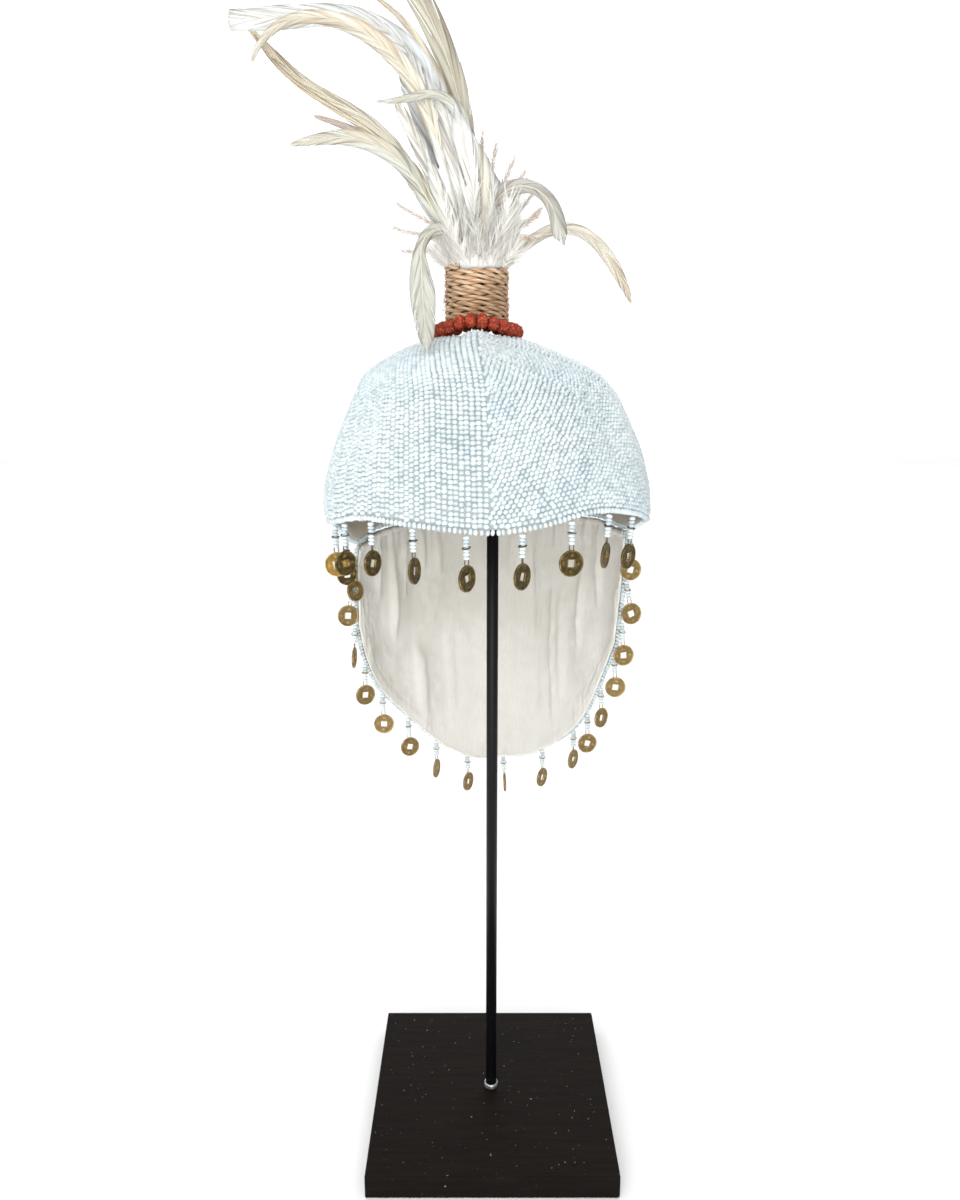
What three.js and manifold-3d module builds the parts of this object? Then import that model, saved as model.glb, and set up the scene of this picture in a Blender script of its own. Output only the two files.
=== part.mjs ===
// A cloth hat sewn all over with seed beads, with a neck flap, coin drops and a plume of feathers,
// on a plain display stand. Millimetres, +Z up. The origin is the middle of the stand's underside,
// the hat's front faces -Y, and +X is the viewer's right.
import * as THREE from "three";
import { mergeVertices } from "three/addons/utils/BufferGeometryUtils.js";
import Module from "manifold-3d";

const wasm = await Module();
wasm.setup();

// Clearance between two pieces that touch on the real thing
const GAP = 0.3;

// Display stand
const BASE_WIDTH = 150;
const BASE_HEIGHT = 15;
const ROD_DIAMETER = 6.8;
const ROD_SIDES = 16;
const FOOT_DIAMETER = 9.4;
const FOOT_HEIGHT = 3;
const HEAD_DIAMETER = 46;
const HEAD_THICKNESS = 5;

// Crown: heights are above the table, and the lean moves the apex away from the rim's middle
const RIM_HEIGHT = 391;
const CROWN_HEIGHT = 104.7;
const CROWN_HALF_WIDTH = 93.3;
const CROWN_HALF_DEPTH = 99;
const CROWN_LEAN = -6.3;
const RIM_CENTRE_X = -2.8;
const RIM_CENTRE_Y = 3;
const CROWN_WALL = 3;
const LINING_WALL = 1;
const CROWN_SIDES = 48;
const KEEL_LIFT = 3.2;
const KEEL_HALF_ANGLE = 26;
const KEEL_FULL_SPREAD = 0.25;
const DENT_DEPTH = 3;

// Neck flap, which hangs from the rear of the rim
const FLAP_LENGTH = 172.5;
const FLAP_SPREAD = 0.975;
const FLAP_FOLD_DEPTH = 2.6;
const FLAP_COLUMNS = 19;
const FLAP_HALF_ANGLE = (FLAP_COLUMNS * 180) / CROWN_SIDES;
const FLAP_MIDDLE_ANGLE = 180 / CROWN_SIDES;
const FLAP_BLEND = 0.25;

// Rope wound round the quills, and the ring of large seeds round its foot
const ROPE_DIAMETER = 3;
const ROPE_TURNS = 11;
const ROPE_SIDES = 16;
const ROPE_VALLEY = 0.3;
const ROPE_SHOULDER = 0.07;
const ROPE_SHOULDER_FROM = 0.25;
const QUILL_BUNDLE_DIAMETER = 28.6;
const RING_BEADS = 23;
const RING_BEAD_DIAMETER = 8.4;
const RING_SIDES = 10;

// Drops: a string of small beads, a wire loop and a coin with a square hole
const STRING_DIAMETER = 3.1;
const STRING_LENGTH = 11.6;
const STRING_SIDES = 8;
const LOOP_LENGTH = 2.6;
const LOOP_WIDTH = 1.2;
const COIN_DIAMETER = 13.3;
const COIN_THICKNESS = 1.3;
const COIN_HOLE = 3.9;
const COIN_SIDES = 10;

// Plume
const FEATHER_LENGTH = 240;
const FEATHER_WIDTH = 12;
const FEATHER_THICKNESS = 1.6;
const FEATHER_STATIONS = 9;
const DOWN_HEIGHT = 40;
const DOWN_DIAMETER = 44;
const DOWN_SIDES = 12;

// Outline of the head of down. spread: share of its radius. rise: share of its height.
const DOWN_PROFILE = [
  { spread: 1.0, rise: 0.45 },
  { spread: 0.72, rise: 0.8 },
  { spread: 0.0, rise: 1.0 },
];

// Crown section from the apex outwards. drop: share of the crown's height. spread: share of its
// half width or half depth. lean: share of the apex's lean that is left at that drop.
const CROWN_PROFILE = [
  { drop: 0.0, spread: 0.0, lean: 1.0 },
  { drop: 0.012, spread: 0.16, lean: 1.0 },
  { drop: 0.039, spread: 0.28, lean: 1.0 },
  { drop: 0.076, spread: 0.4, lean: 1.0 },
  { drop: 0.126, spread: 0.526, lean: 0.86 },
  { drop: 0.177, spread: 0.631, lean: 0.67 },
  { drop: 0.226, spread: 0.707, lean: 0.5 },
  { drop: 0.314, spread: 0.779, lean: 0.25 },
  { drop: 0.441, spread: 0.849, lean: 0.14 },
  { drop: 0.595, spread: 0.922, lean: 0.08 },
  { drop: 0.713, spread: 0.965, lean: 0.03 },
  { drop: 0.818, spread: 0.994, lean: 0.0 },
  { drop: 0.924, spread: 1.0, lean: 0.0 },
  { drop: 0.996, spread: 0.985, lean: 0.0 },
  { drop: 1.08, spread: 0.967, lean: 0.0 },
  { drop: 1.25, spread: 0.95, lean: 0.0 },
];

// Rows of faces of the crown, as shares of the way from the apex to the rim
const CROWN_ROWS = [0.03, 0.09, 0.16, 0.24, 0.34, 0.5, 0.7, 0.88, 1.0];

// Height of the rim round the hat. angle: degrees from the front, positive to the viewer's right.
// rise: share of the crown's height above the rim's height.
const RIM_LINE = [
  { angle: -180, rise: -0.105 },
  { angle: -127, rise: -0.14 },
  { angle: -113, rise: -0.2 },
  { angle: -100, rise: -0.11 },
  { angle: -88, rise: -0.02 },
  { angle: -65, rise: 0.022 },
  { angle: -45, rise: 0.082 },
  { angle: -24, rise: 0.074 },
  { angle: 0, rise: 0.046 },
  { angle: 14, rise: 0.07 },
  { angle: 35, rise: 0.129 },
  { angle: 57, rise: 0.084 },
  { angle: 68, rise: 0.04 },
  { angle: 88, rise: -0.02 },
  { angle: 102, rise: -0.09 },
  { angle: 113, rise: -0.1 },
  { angle: 126, rise: -0.07 },
  { angle: 150, rise: -0.085 },
  { angle: 180, rise: -0.105 },
];

// Soft creases of the crown. angle and halfAngle in degrees. drop and halfDrop: shares of the way
// from apex to rim. depth: share of the dent depth.
const CROWN_DENTS = [
  { angle: -58, halfAngle: 17, drop: 0.45, halfDrop: 0.34, depth: 0.8 },
  { angle: 50, halfAngle: 17, drop: 0.5, halfDrop: 0.36, depth: 1.0 },
  { angle: 78, halfAngle: 14, drop: 0.82, halfDrop: 0.22, depth: 0.6 },
  { angle: -150, halfAngle: 22, drop: 0.55, halfDrop: 0.35, depth: 0.7 },
  { angle: 140, halfAngle: 20, drop: 0.5, halfDrop: 0.35, depth: 0.8 },
];

// Lower outline of the flap. across: from -1 at the left end of the round to 1 at its right end.
// turn: share of the flap's half angle, from its middle. fall: share of the flap's length.
const FLAP_OUTLINE = [
  { across: -1, turn: -1, fall: 0.36 },
  { across: -0.9, turn: -0.937, fall: 0.483 },
  { across: -0.75, turn: -0.804, fall: 0.63 },
  { across: -0.55, turn: -0.593, fall: 0.772 },
  { across: -0.3, turn: -0.361, fall: 0.919 },
  { across: -0.12, turn: -0.179, fall: 0.988 },
  { across: 0, turn: -0.067, fall: 1.0 },
  { across: 0.12, turn: 0.06, fall: 0.99 },
  { across: 0.3, turn: 0.228, fall: 0.974 },
  { across: 0.45, turn: 0.368, fall: 0.919 },
  { across: 0.6, turn: 0.509, fall: 0.846 },
  { across: 0.72, turn: 0.614, fall: 0.765 },
  { across: 0.84, turn: 0.705, fall: 0.66 },
  { across: 0.93, turn: 0.818, fall: 0.515 },
  { across: 1, turn: 0.895, fall: 0.424 },
];
const FLAP_ROWS = [0, 0.12, 0.28, 0.45, 0.62, 0.8, 1];
const FLAP_STOPS = Array.from({ length: FLAP_COLUMNS + 1 }, (_, column) => (2 * column) / FLAP_COLUMNS - 1);

// Upright folds of the flap. turn and halfTurn: shares of the flap's half angle. depth: share of
// the fold depth, positive outwards. from, to: shares of the way down.
const FLAP_FOLDS = [
  { turn: -0.68, halfTurn: 0.15, depth: -0.9, from: 0.0, to: 0.8 },
  { turn: -0.36, halfTurn: 0.17, depth: 0.7, from: 0.1, to: 1.1 },
  { turn: 0.0, halfTurn: 0.16, depth: -0.6, from: 0.05, to: 0.9 },
  { turn: 0.31, halfTurn: 0.15, depth: 1.0, from: -0.1, to: 0.9 },
  { turn: 0.64, halfTurn: 0.15, depth: -0.6, from: 0.2, to: 1.1 },
];

// Drops under the rim. angle: degrees from the front. swing: lean of the string towards the
// viewer's right. forward: its lean to the front. turn: yaw of the coin.
const RIM_DROPS = [
  { angle: -104, swing: 0, forward: 0, turn: 30 },
  { angle: -65, swing: 2, forward: 0, turn: 12 },
  { angle: -55, swing: 0, forward: 0, turn: 42 },
  { angle: -40, swing: 1, forward: 0, turn: 58 },
  { angle: -24, swing: 2, forward: 0, turn: 69 },
  { angle: -7, swing: 1, forward: 0, turn: 55 },
  { angle: 10, swing: 0, forward: 0, turn: 52 },
  { angle: 26, swing: 0, forward: 0, turn: 22 },
  { angle: 41, swing: -4, forward: 0, turn: 66 },
  { angle: 54, swing: -4, forward: 0, turn: 50 },
];

// Drops along the flap's edge. edge: left, round or right. at: share of the way down a side edge,
// or the place across the round. swing and turn as under the rim. forward: lean to the front.
const FLAP_DROPS = [
  { edge: "left", at: 0.12, swing: 2, forward: 13, turn: 50 },
  { edge: "left", at: 0.44, swing: -10, forward: 8, turn: 25 },
  { edge: "left", at: 0.97, swing: -2, forward: 4, turn: 88 },
  { edge: "round", at: -0.87, swing: 0, forward: 0, turn: 30 },
  { edge: "round", at: -0.71, swing: 2, forward: 0, turn: 5 },
  { edge: "round", at: -0.52, swing: 3, forward: 0, turn: 25 },
  { edge: "round", at: -0.31, swing: 0, forward: 0, turn: 74 },
  { edge: "round", at: -0.11, swing: 2, forward: 0, turn: 60 },
  { edge: "round", at: 0.115, swing: 4, forward: 0, turn: 86 },
  { edge: "round", at: 0.385, swing: 0, forward: 0, turn: 56 },
  { edge: "round", at: 0.62, swing: 0, forward: 0, turn: 56 },
  { edge: "round", at: 0.745, swing: 1, forward: 0, turn: 15 },
  { edge: "round", at: 0.86, swing: 2, forward: 0, turn: 45 },
  { edge: "round", at: 0.965, swing: 4, forward: 0, turn: 5 },
  { edge: "right", at: 0.8, swing: 5, forward: 3, turn: 12 },
  { edge: "right", at: 0.42, swing: 10, forward: 3, turn: 15 },
  { edge: "right", at: 0.03, swing: 3, forward: 3, turn: 12 },
];

// Feathers. length: share of the feather length. width: share of the feather width. start: share of
// the down's radius to the right, and rise: share of the down's height above the rope. back: how
// far back the tip lies, as a share of the feather's own length. blunt: how full the tip is.
// roll: degrees about its own shaft. leanAt: degrees from upright, positive to the left, at even
// steps along it.
const FEATHERS = [
  {
    length: 0.885, width: 0.9, start: -0.12, rise: 0, back: 0.03, blunt: 0.8, roll: 10,
    leanAt: [19, 8, 19, 58, 92, 90],
  },
  {
    length: 0.77, width: 0.62, start: -0.12, rise: 0, back: -0.18, blunt: 0.3, roll: -20,
    leanAt: [15, 16, 23, 54, 96, 165],
  },
  {
    length: 0.79, width: 0.62, start: -0.17, rise: 0, back: 0.2, blunt: 0.3, roll: 25,
    leanAt: [40, 27, 40, 62, 47, 40],
  },
  {
    length: 0.47, width: 0.62, start: -0.22, rise: 0, back: -0.36, blunt: 0.3, roll: -10,
    leanAt: [35, 33, 35, 65, 96, 111],
  },
  {
    length: 0.54, width: 0.48, start: -0.27, rise: 0, back: 0.4, blunt: 0.2, roll: 15,
    leanAt: [30, 30, 35, 46, 64, 70],
  },
  {
    length: 0.49, width: 0.58, start: -0.02, rise: 0, back: -0.2, blunt: 0.4, roll: 20,
    leanAt: [10, 9, -4, 24, 102, 93],
  },
  {
    length: 0.79, width: 1.04, start: 0.03, rise: 0, back: 0.08, blunt: 0.6, roll: 0,
    leanAt: [8, 3, 12, 22, 36, 55],
  },
  {
    length: 0.55, width: 0.3, start: -0.07, rise: 0, back: 0.25, blunt: 0.2, roll: 0,
    leanAt: [8, 8, 11, 22, 32, 35],
  },
  {
    length: 0.36, width: 0.85, start: 0.08, rise: 0.05, back: -0.22, blunt: 0.7, roll: -15,
    leanAt: [-7, -14, -49, -113, -160, -164],
  },
  {
    length: 0.43, width: 0.58, start: 0.5, rise: 0.02, back: 0.26, blunt: 0.2, roll: 10,
    leanAt: [-70, -48, -84, -127, -146, -156],
  },
  {
    length: 0.37, width: 0.85, start: -0.16, rise: 0.19, back: -0.56, blunt: 0.5, roll: 0,
    leanAt: [25, 85, 172, 184, 192, 192],
  },
];

// Materials, one to a kind of surface
function finish(color, roughness, metalness = 0) {
  return new THREE.MeshStandardMaterial({ color, roughness, metalness });
}

const MATERIALS = {
  board: finish(0x1d1917, 0.7),
  steel: finish(0x17181a, 0.45, 0.6),
  weld: finish(0xb9bcbd, 0.35, 0.9),
  beads: finish(0xe9eef4, 0.25),
  cotton: finish(0xe0dccd, 0.9),
  jute: finish(0xbe9b73, 0.95),
  seeds: finish(0x963c20, 0.8),
  feather: finish(0xece5d6, 0.85),
  coin: finish(0x7a6a3c, 0.45, 0.9),
};

const radians = THREE.MathUtils.degToRad;
const lerp = THREE.MathUtils.lerp;

// A smooth value of a table's column at a place in its first column
function tableValue(rows, key, column, at) {
  const last = rows.length - 1;
  if (at <= rows[0][key]) return rows[0][column];
  if (at >= rows[last][key]) return rows[last][column];
  const next = rows.findIndex((row) => row[key] > at);
  const [a, b] = [rows[next - 1], rows[next]];
  const slopeBetween = (p, q) => (q[column] - p[column]) / (q[key] - p[key]);
  const span = b[key] - a[key];
  const slopeStart = next > 1 ? slopeBetween(rows[next - 2], b) : slopeBetween(a, b);
  const slopeEnd = next < last ? slopeBetween(a, rows[next + 1]) : slopeBetween(a, b);
  const t = (at - a[key]) / span;
  const startWeight = (1 + 2 * t) * (1 - t) * (1 - t);
  const endWeight = t * t * (3 - 2 * t);
  const startPull = t * (1 - t) * (1 - t) * span * slopeStart;
  const endPull = t * t * (t - 1) * span * slopeEnd;
  return a[column] * startWeight + b[column] * endWeight + startPull + endPull;
}

// A smooth bump that is 1 in the middle and 0 from the half width on
function bump(distance, halfWidth) {
  const t = Math.min(Math.abs(distance) / halfWidth, 1);
  return (1 - t * t) * (1 - t * t);
}

// An angle brought between -180 and 180 degrees
const wrapped = (angle) => THREE.MathUtils.euclideanModulo(angle + 180, 360) - 180;

// A closed mesh from its points and faces of three or four corners
function meshGeometry(points, faces) {
  const geometry = new THREE.BufferGeometry();
  const numbers = points.flatMap((point) => [point.x, point.y, point.z]);
  geometry.setAttribute("position", new THREE.Float32BufferAttribute(numbers, 3));
  geometry.setIndex(faces.flatMap(([a, b, c, d]) => (d === undefined ? [a, b, c] : [a, b, c, a, c, d])));
  return geometry;
}

function toManifold(geometry) {
  const plain = geometry.clone();
  plain.deleteAttribute("normal");
  plain.deleteAttribute("uv");
  const merged = mergeVertices(plain);
  const vertProperties = Float32Array.from(merged.attributes.position.array);
  const triVerts = Uint32Array.from(merged.index.array);
  return new wasm.Manifold(new wasm.Mesh({ numProp: 3, vertProperties, triVerts }));
}

function fused(geometries) {
  const joined = geometries.map(toManifold).reduce((whole, piece) => whole.add(piece));
  const mesh = joined.getMesh();
  const geometry = new THREE.BufferGeometry();
  geometry.setAttribute("position", new THREE.BufferAttribute(Float32Array.from(mesh.vertProperties), 3));
  geometry.setIndex(Array.from(mesh.triVerts));
  return geometry;
}

function named(name, geometry, material) {
  const mesh = new THREE.Mesh(geometry, material);
  mesh.name = name;
  return mesh;
}

// An upright cylinder standing on z = 0
function uprightCylinder(diameter, height, sides) {
  const cylinder = new THREE.CylinderGeometry(diameter / 2, diameter / 2, height, sides);
  return cylinder.rotateX(Math.PI / 2).translate(0, 0, height / 2);
}

// A profile of radius and height turned about the vertical axis
function turned(profile, sides) {
  const points = profile.map(([radius, height]) => new THREE.Vector2(radius, height));
  return new THREE.LatheGeometry(points, sides).rotateX(Math.PI / 2);
}

// The crown's outer surface, or one that lies an inset below it. angle: degrees from the front.
// share: 0 at the apex and 1 at the rim.
function crownSurface(angle, share) {
  const rise = tableValue(RIM_LINE, "angle", "rise", wrapped(angle));
  const dropShare = share * (1 - rise);
  const column = (name) => tableValue(CROWN_PROFILE, "drop", name, dropShare);
  const spread = column("spread");
  const keelAngle = Math.min(Math.abs(wrapped(angle)), 180 - Math.abs(wrapped(angle)));
  const keelFade = Math.min(spread / KEEL_FULL_SPREAD, 1) * (1 - share);
  const keel = KEEL_LIFT * bump(keelAngle, KEEL_HALF_ANGLE) * keelFade;
  let inward = 0;
  for (const dent of CROWN_DENTS) {
    const across = bump(wrapped(angle - dent.angle), dent.halfAngle);
    inward += DENT_DEPTH * dent.depth * across * bump(share - dent.drop, dent.halfDrop);
  }
  const halfWidth = CROWN_HALF_WIDTH * spread - inward;
  const halfDepth = CROWN_HALF_DEPTH * spread - inward;
  const x = RIM_CENTRE_X + CROWN_LEAN * column("lean") + halfWidth * Math.sin(radians(angle));
  const y = RIM_CENTRE_Y - halfDepth * Math.cos(radians(angle));
  return new THREE.Vector3(x, y, RIM_HEIGHT + CROWN_HEIGHT * (1 - dropShare) + keel);
}

// The normal of a surface function of two values, by small steps to both sides
function surfaceNormal(surface, u, v, stepU, stepV) {
  const alongU = surface(u + stepU, v).sub(surface(u - stepU, v));
  const alongV = surface(u, v + stepV).sub(surface(u, v - stepV));
  return alongV.cross(alongU).normalize();
}

const CROWN_ANGLE_STEP = 1.5;
const CROWN_SHARE_STEP = 0.01;

function crownPoint(angle, share, inset) {
  const point = crownSurface(angle, share);
  if (share === 0) return point.setZ(point.z - inset);
  const normal = surfaceNormal(crownSurface, angle, share, CROWN_ANGLE_STEP, CROWN_SHARE_STEP);
  return point.addScaledVector(normal, -inset);
}

// A cap-shaped wall between two insets below the crown's outer surface
function capWall(outerInset, innerInset) {
  const points = [];
  const faces = [];
  for (const inset of [outerInset, innerInset]) {
    points.push(crownPoint(0, 0, inset));
    for (const share of CROWN_ROWS) {
      for (let side = 0; side < CROWN_SIDES; side++) {
        points.push(crownPoint((360 * side) / CROWN_SIDES, share, inset));
      }
    }
  }
  const layer = 1 + CROWN_ROWS.length * CROWN_SIDES;
  const at = (inner, row, side) => inner * layer + 1 + row * CROWN_SIDES + (side % CROWN_SIDES);
  for (let side = 0; side < CROWN_SIDES; side++) {
    faces.push([0, at(0, 0, side), at(0, 0, side + 1)]);
    faces.push([layer, at(1, 0, side + 1), at(1, 0, side)]);
    for (let row = 0; row + 1 < CROWN_ROWS.length; row++) {
      faces.push([at(0, row, side), at(0, row + 1, side), at(0, row + 1, side + 1), at(0, row, side + 1)]);
      faces.push([at(1, row, side), at(1, row, side + 1), at(1, row + 1, side + 1), at(1, row + 1, side)]);
    }
    const rim = CROWN_ROWS.length - 1;
    faces.push([at(0, rim, side), at(1, rim, side), at(1, rim, side + 1), at(0, rim, side + 1)]);
  }
  return meshGeometry(points, faces);
}

// The flap's outer surface. across: -1 to 1 from left to right. down: 0 at the rim, 1 at the edge.
const FLAP_TOP = RIM_HEIGHT + CROWN_HEIGHT * tableValue(RIM_LINE, "angle", "rise", 180);

// The angle from the hat's front of a turn across the flap
const rimAngle = (turn) => 180 - FLAP_MIDDLE_ANGLE - turn * FLAP_HALF_ANGLE;

function flapSurface(across, down) {
  const outline = (column) => tableValue(FLAP_OUTLINE, "across", column, across);
  const turn = lerp(across, outline("turn"), down);
  const rimPoint = crownSurface(rimAngle(turn), 1);
  const lowest = FLAP_TOP - FLAP_LENGTH * outline("fall");
  let outward = 0;
  for (const fold of FLAP_FOLDS) {
    const middle = (fold.from + fold.to) / 2;
    const along = bump(down - middle, (fold.to - fold.from) / 2);
    outward += FLAP_FOLD_DEPTH * fold.depth * along * bump(turn - fold.turn, fold.halfTurn);
  }
  const hang = Math.min(Math.max(down, 0) / FLAP_BLEND, 1);
  const angle = radians(180 - rimAngle(turn));
  const hangX = RIM_CENTRE_X + (CROWN_HALF_WIDTH * FLAP_SPREAD + outward) * Math.sin(angle);
  const hangY = RIM_CENTRE_Y + (CROWN_HALF_DEPTH * FLAP_SPREAD + outward) * Math.cos(angle);
  const topZ = crownSurface(rimAngle(across), 1).z - GAP;
  const x = lerp(rimPoint.x, hangX, hang);
  const y = lerp(rimPoint.y, hangY, hang);
  return new THREE.Vector3(x, y, lerp(topZ, lowest, down));
}

const FLAP_STEP = 0.01;

function flapPoint(across, down, inset) {
  if (down === 0) return crownPoint(rimAngle(across), 1, inset).add(new THREE.Vector3(0, 0, -GAP));
  const inwards = surfaceNormal(flapSurface, across, down, FLAP_STEP, FLAP_STEP);
  return flapSurface(across, down).addScaledVector(inwards, inset);
}

// A sheet between two insets below the flap's outer surface
function flapWall(outerInset, innerInset) {
  const points = [];
  const faces = [];
  for (const inset of [outerInset, innerInset]) {
    for (const down of FLAP_ROWS) {
      for (const across of FLAP_STOPS) points.push(flapPoint(across, down, inset));
    }
  }
  const width = FLAP_COLUMNS + 1;
  const lastRow = FLAP_ROWS.length - 1;
  const at = (inner, row, column) => (inner * FLAP_ROWS.length + row) * width + column;
  for (let row = 0; row < lastRow; row++) {
    for (let column = 0; column < FLAP_COLUMNS; column++) {
      const next = column + 1;
      faces.push([at(0, row, column), at(0, row, next), at(0, row + 1, next), at(0, row + 1, column)]);
      faces.push([at(1, row, column), at(1, row + 1, column), at(1, row + 1, next), at(1, row, next)]);
    }
    const end = FLAP_COLUMNS;
    faces.push([at(0, row, 0), at(0, row + 1, 0), at(1, row + 1, 0), at(1, row, 0)]);
    faces.push([at(0, row + 1, end), at(0, row, end), at(1, row, end), at(1, row + 1, end)]);
  }
  for (let column = 0; column < FLAP_COLUMNS; column++) {
    const next = column + 1;
    faces.push([at(0, 0, next), at(0, 0, column), at(1, 0, column), at(1, 0, next)]);
    faces.push([at(0, lastRow, column), at(0, lastRow, next), at(1, lastRow, next), at(1, lastRow, column)]);
  }
  return meshGeometry(points, faces);
}

// The stem of quills stands on the crown's apex
const STEM_X = RIM_CENTRE_X + CROWN_LEAN;
const STEM_Y = RIM_CENTRE_Y;

// Points spread over the top of the crown, for seating what stands on it
const TOP_REACH = 0.2;
const TOP_SHARE_STEP = 0.01;
const TOP_ANGLE_STEP = 6;
const TOP_SAMPLES = [];
for (let share = 0; share < TOP_REACH; share += TOP_SHARE_STEP) {
  for (let angle = 0; angle < 360; angle += TOP_ANGLE_STEP) TOP_SAMPLES.push(crownSurface(angle, share));
}

// The lowest height at which a ball rests on the crown with its centre over a point
function ballSeat(x, y, radius) {
  const reach = radius + GAP;
  const heights = TOP_SAMPLES.map((point) => {
    const away = Math.hypot(point.x - x, point.y - y);
    return away < reach ? point.z + Math.sqrt(reach * reach - away * away) : 0;
  });
  return Math.max(...heights);
}

// The highest point of the crown within a radius of the stem
function crownTopWithin(radius) {
  const near = TOP_SAMPLES.filter((point) => Math.hypot(point.x - STEM_X, point.y - STEM_Y) <= radius);
  return Math.max(...near.map((point) => point.z));
}

const QUILL_RADIUS = QUILL_BUNDLE_DIAMETER / 2;
const ROPE_INNER = QUILL_RADIUS + GAP;
const ROPE_OUTER = ROPE_INNER + ROPE_DIAMETER;
const ROPE_BOTTOM = crownTopWithin(ROPE_OUTER) + GAP;
const ROPE_TOP = ROPE_BOTTOM + ROPE_DIAMETER * ROPE_TURNS;

function ropeWrap() {
  const valley = ROPE_OUTER - ROPE_DIAMETER * ROPE_VALLEY;
  const shoulder = ROPE_OUTER - ROPE_DIAMETER * ROPE_SHOULDER;
  const profile = [[ROPE_INNER, ROPE_BOTTOM], [valley, ROPE_BOTTOM]];
  for (let turn = 0; turn < ROPE_TURNS; turn++) {
    const low = ROPE_BOTTOM + ROPE_DIAMETER * turn;
    profile.push([shoulder, low + ROPE_DIAMETER * ROPE_SHOULDER_FROM]);
    profile.push([shoulder, low + ROPE_DIAMETER * (1 - ROPE_SHOULDER_FROM)]);
    profile.push([valley, low + ROPE_DIAMETER]);
  }
  profile.push([ROPE_INNER, ROPE_TOP], [ROPE_INNER, ROPE_BOTTOM]);
  return turned(profile, ROPE_SIDES).translate(STEM_X, STEM_Y, 0);
}

// Ring of barrel-shaped seeds: a closed loop of sections that swell and narrow. along: share of one
// seed's length round the ring. swell: share of the seed's diameter.
const SEED_SECTIONS = [
  { along: 0.0, swell: 0.62 },
  { along: 0.28, swell: 1.0 },
  { along: 0.72, swell: 1.0 },
];

function beadRing() {
  const radius = RING_BEAD_DIAMETER / 2;
  const ringRadius = ROPE_OUTER + GAP + radius;
  const points = [];
  for (let bead = 0; bead < RING_BEADS; bead++) {
    for (const section of SEED_SECTIONS) {
      const around = (2 * Math.PI * (bead + section.along)) / RING_BEADS;
      const outward = new THREE.Vector3(Math.sin(around), -Math.cos(around), 0);
      const x = STEM_X + ringRadius * outward.x;
      const y = STEM_Y + ringRadius * outward.y;
      const middle = new THREE.Vector3(x, y, ballSeat(x, y, radius));
      for (let side = 0; side < RING_SIDES; side++) {
        const angle = (2 * Math.PI * side) / RING_SIDES;
        const point = middle.clone().addScaledVector(outward, radius * section.swell * Math.cos(angle));
        point.z += radius * section.swell * Math.sin(angle);
        points.push(point);
      }
    }
  }
  const sections = RING_BEADS * SEED_SECTIONS.length;
  const at = (section, side) => (section % sections) * RING_SIDES + (side % RING_SIDES);
  const faces = [];
  for (let section = 0; section < sections; section++) {
    for (let side = 0; side < RING_SIDES; side++) {
      const [next, nextSide] = [section + 1, side + 1];
      faces.push([at(section, side), at(next, side), at(next, nextSide), at(section, nextSide)]);
    }
  }
  return meshGeometry(points, faces);
}

// Coin with a square hole, facing the front, with the middle of its rim's top at the origin
function coin() {
  const outline = new THREE.Shape();
  outline.absarc(0, -COIN_DIAMETER / 2, COIN_DIAMETER / 2, 0, 2 * Math.PI, false);
  const half = COIN_HOLE / 2;
  const corners = [[-half, -half], [-half, half], [half, half], [half, -half]];
  outline.holes.push(new THREE.Path(corners.map(([x, y]) => new THREE.Vector2(x, y - COIN_DIAMETER / 2))));
  const options = { depth: COIN_THICKNESS, bevelEnabled: false, curveSegments: COIN_SIDES / 2, steps: 1 };
  return new THREE.ExtrudeGeometry(outline, options).rotateX(Math.PI / 2).translate(0, COIN_THICKNESS / 2, 0);
}

// One drop, hanging down from the origin. The loop runs on into the string and the coin.
const LOOP_OVERLAP = 0.8;

function dropGeometry() {
  const string = uprightCylinder(STRING_DIAMETER, STRING_LENGTH, STRING_SIDES);
  string.translate(0, 0, -STRING_LENGTH);
  const loopHeight = LOOP_LENGTH + 2 * LOOP_OVERLAP;
  const loop = new THREE.BoxGeometry(LOOP_WIDTH, LOOP_WIDTH / 2, loopHeight);
  loop.translate(0, 0, -STRING_LENGTH - LOOP_LENGTH / 2);
  return fused([string, loop, coin().translate(0, 0, -STRING_LENGTH - LOOP_LENGTH)]);
}

const DROP = dropGeometry();
const STRING_RADIUS = STRING_DIAMETER / 2;

// A drop hung by its top from a point, leaning and turned
function drop(name, top, row) {
  const hanger = new THREE.Group();
  const lean = Math.abs(row.swing) + Math.abs(row.forward);
  hanger.position.set(top.x, top.y, top.z - GAP - STRING_RADIUS * Math.sin(radians(lean)));
  hanger.rotation.set(-radians(row.forward), -radians(row.swing), 0);
  const mesh = named(name, DROP, MATERIALS.coin);
  mesh.rotation.z = radians(row.turn);
  hanger.add(mesh);
  return hanger;
}

// The lowest point of the crown's rim within a string's radius of an angle
function rimSeat(angle) {
  const middle = crownPoint(angle, 1, CROWN_WALL / 2);
  const reach = THREE.MathUtils.radToDeg(STRING_RADIUS / CROWN_HALF_WIDTH);
  const heights = [];
  for (const side of [-1, 0, 1]) {
    for (const inset of [0, CROWN_WALL]) heights.push(crownPoint(angle + side * reach, 1, inset).z);
  }
  return middle.setZ(Math.min(...heights));
}

// The two stops that a value lies between, and its share of the way from one to the other
function stopsAround(stops, value) {
  const next = Math.min(Math.max(stops.findIndex((stop) => stop > value), 1), stops.length - 1);
  const low = value < stops[stops.length - 1] ? stops[next - 1] : stops[stops.length - 2];
  const high = value < stops[stops.length - 1] ? stops[next] : stops[stops.length - 1];
  return [low, high, (value - low) / (high - low)];
}

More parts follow.
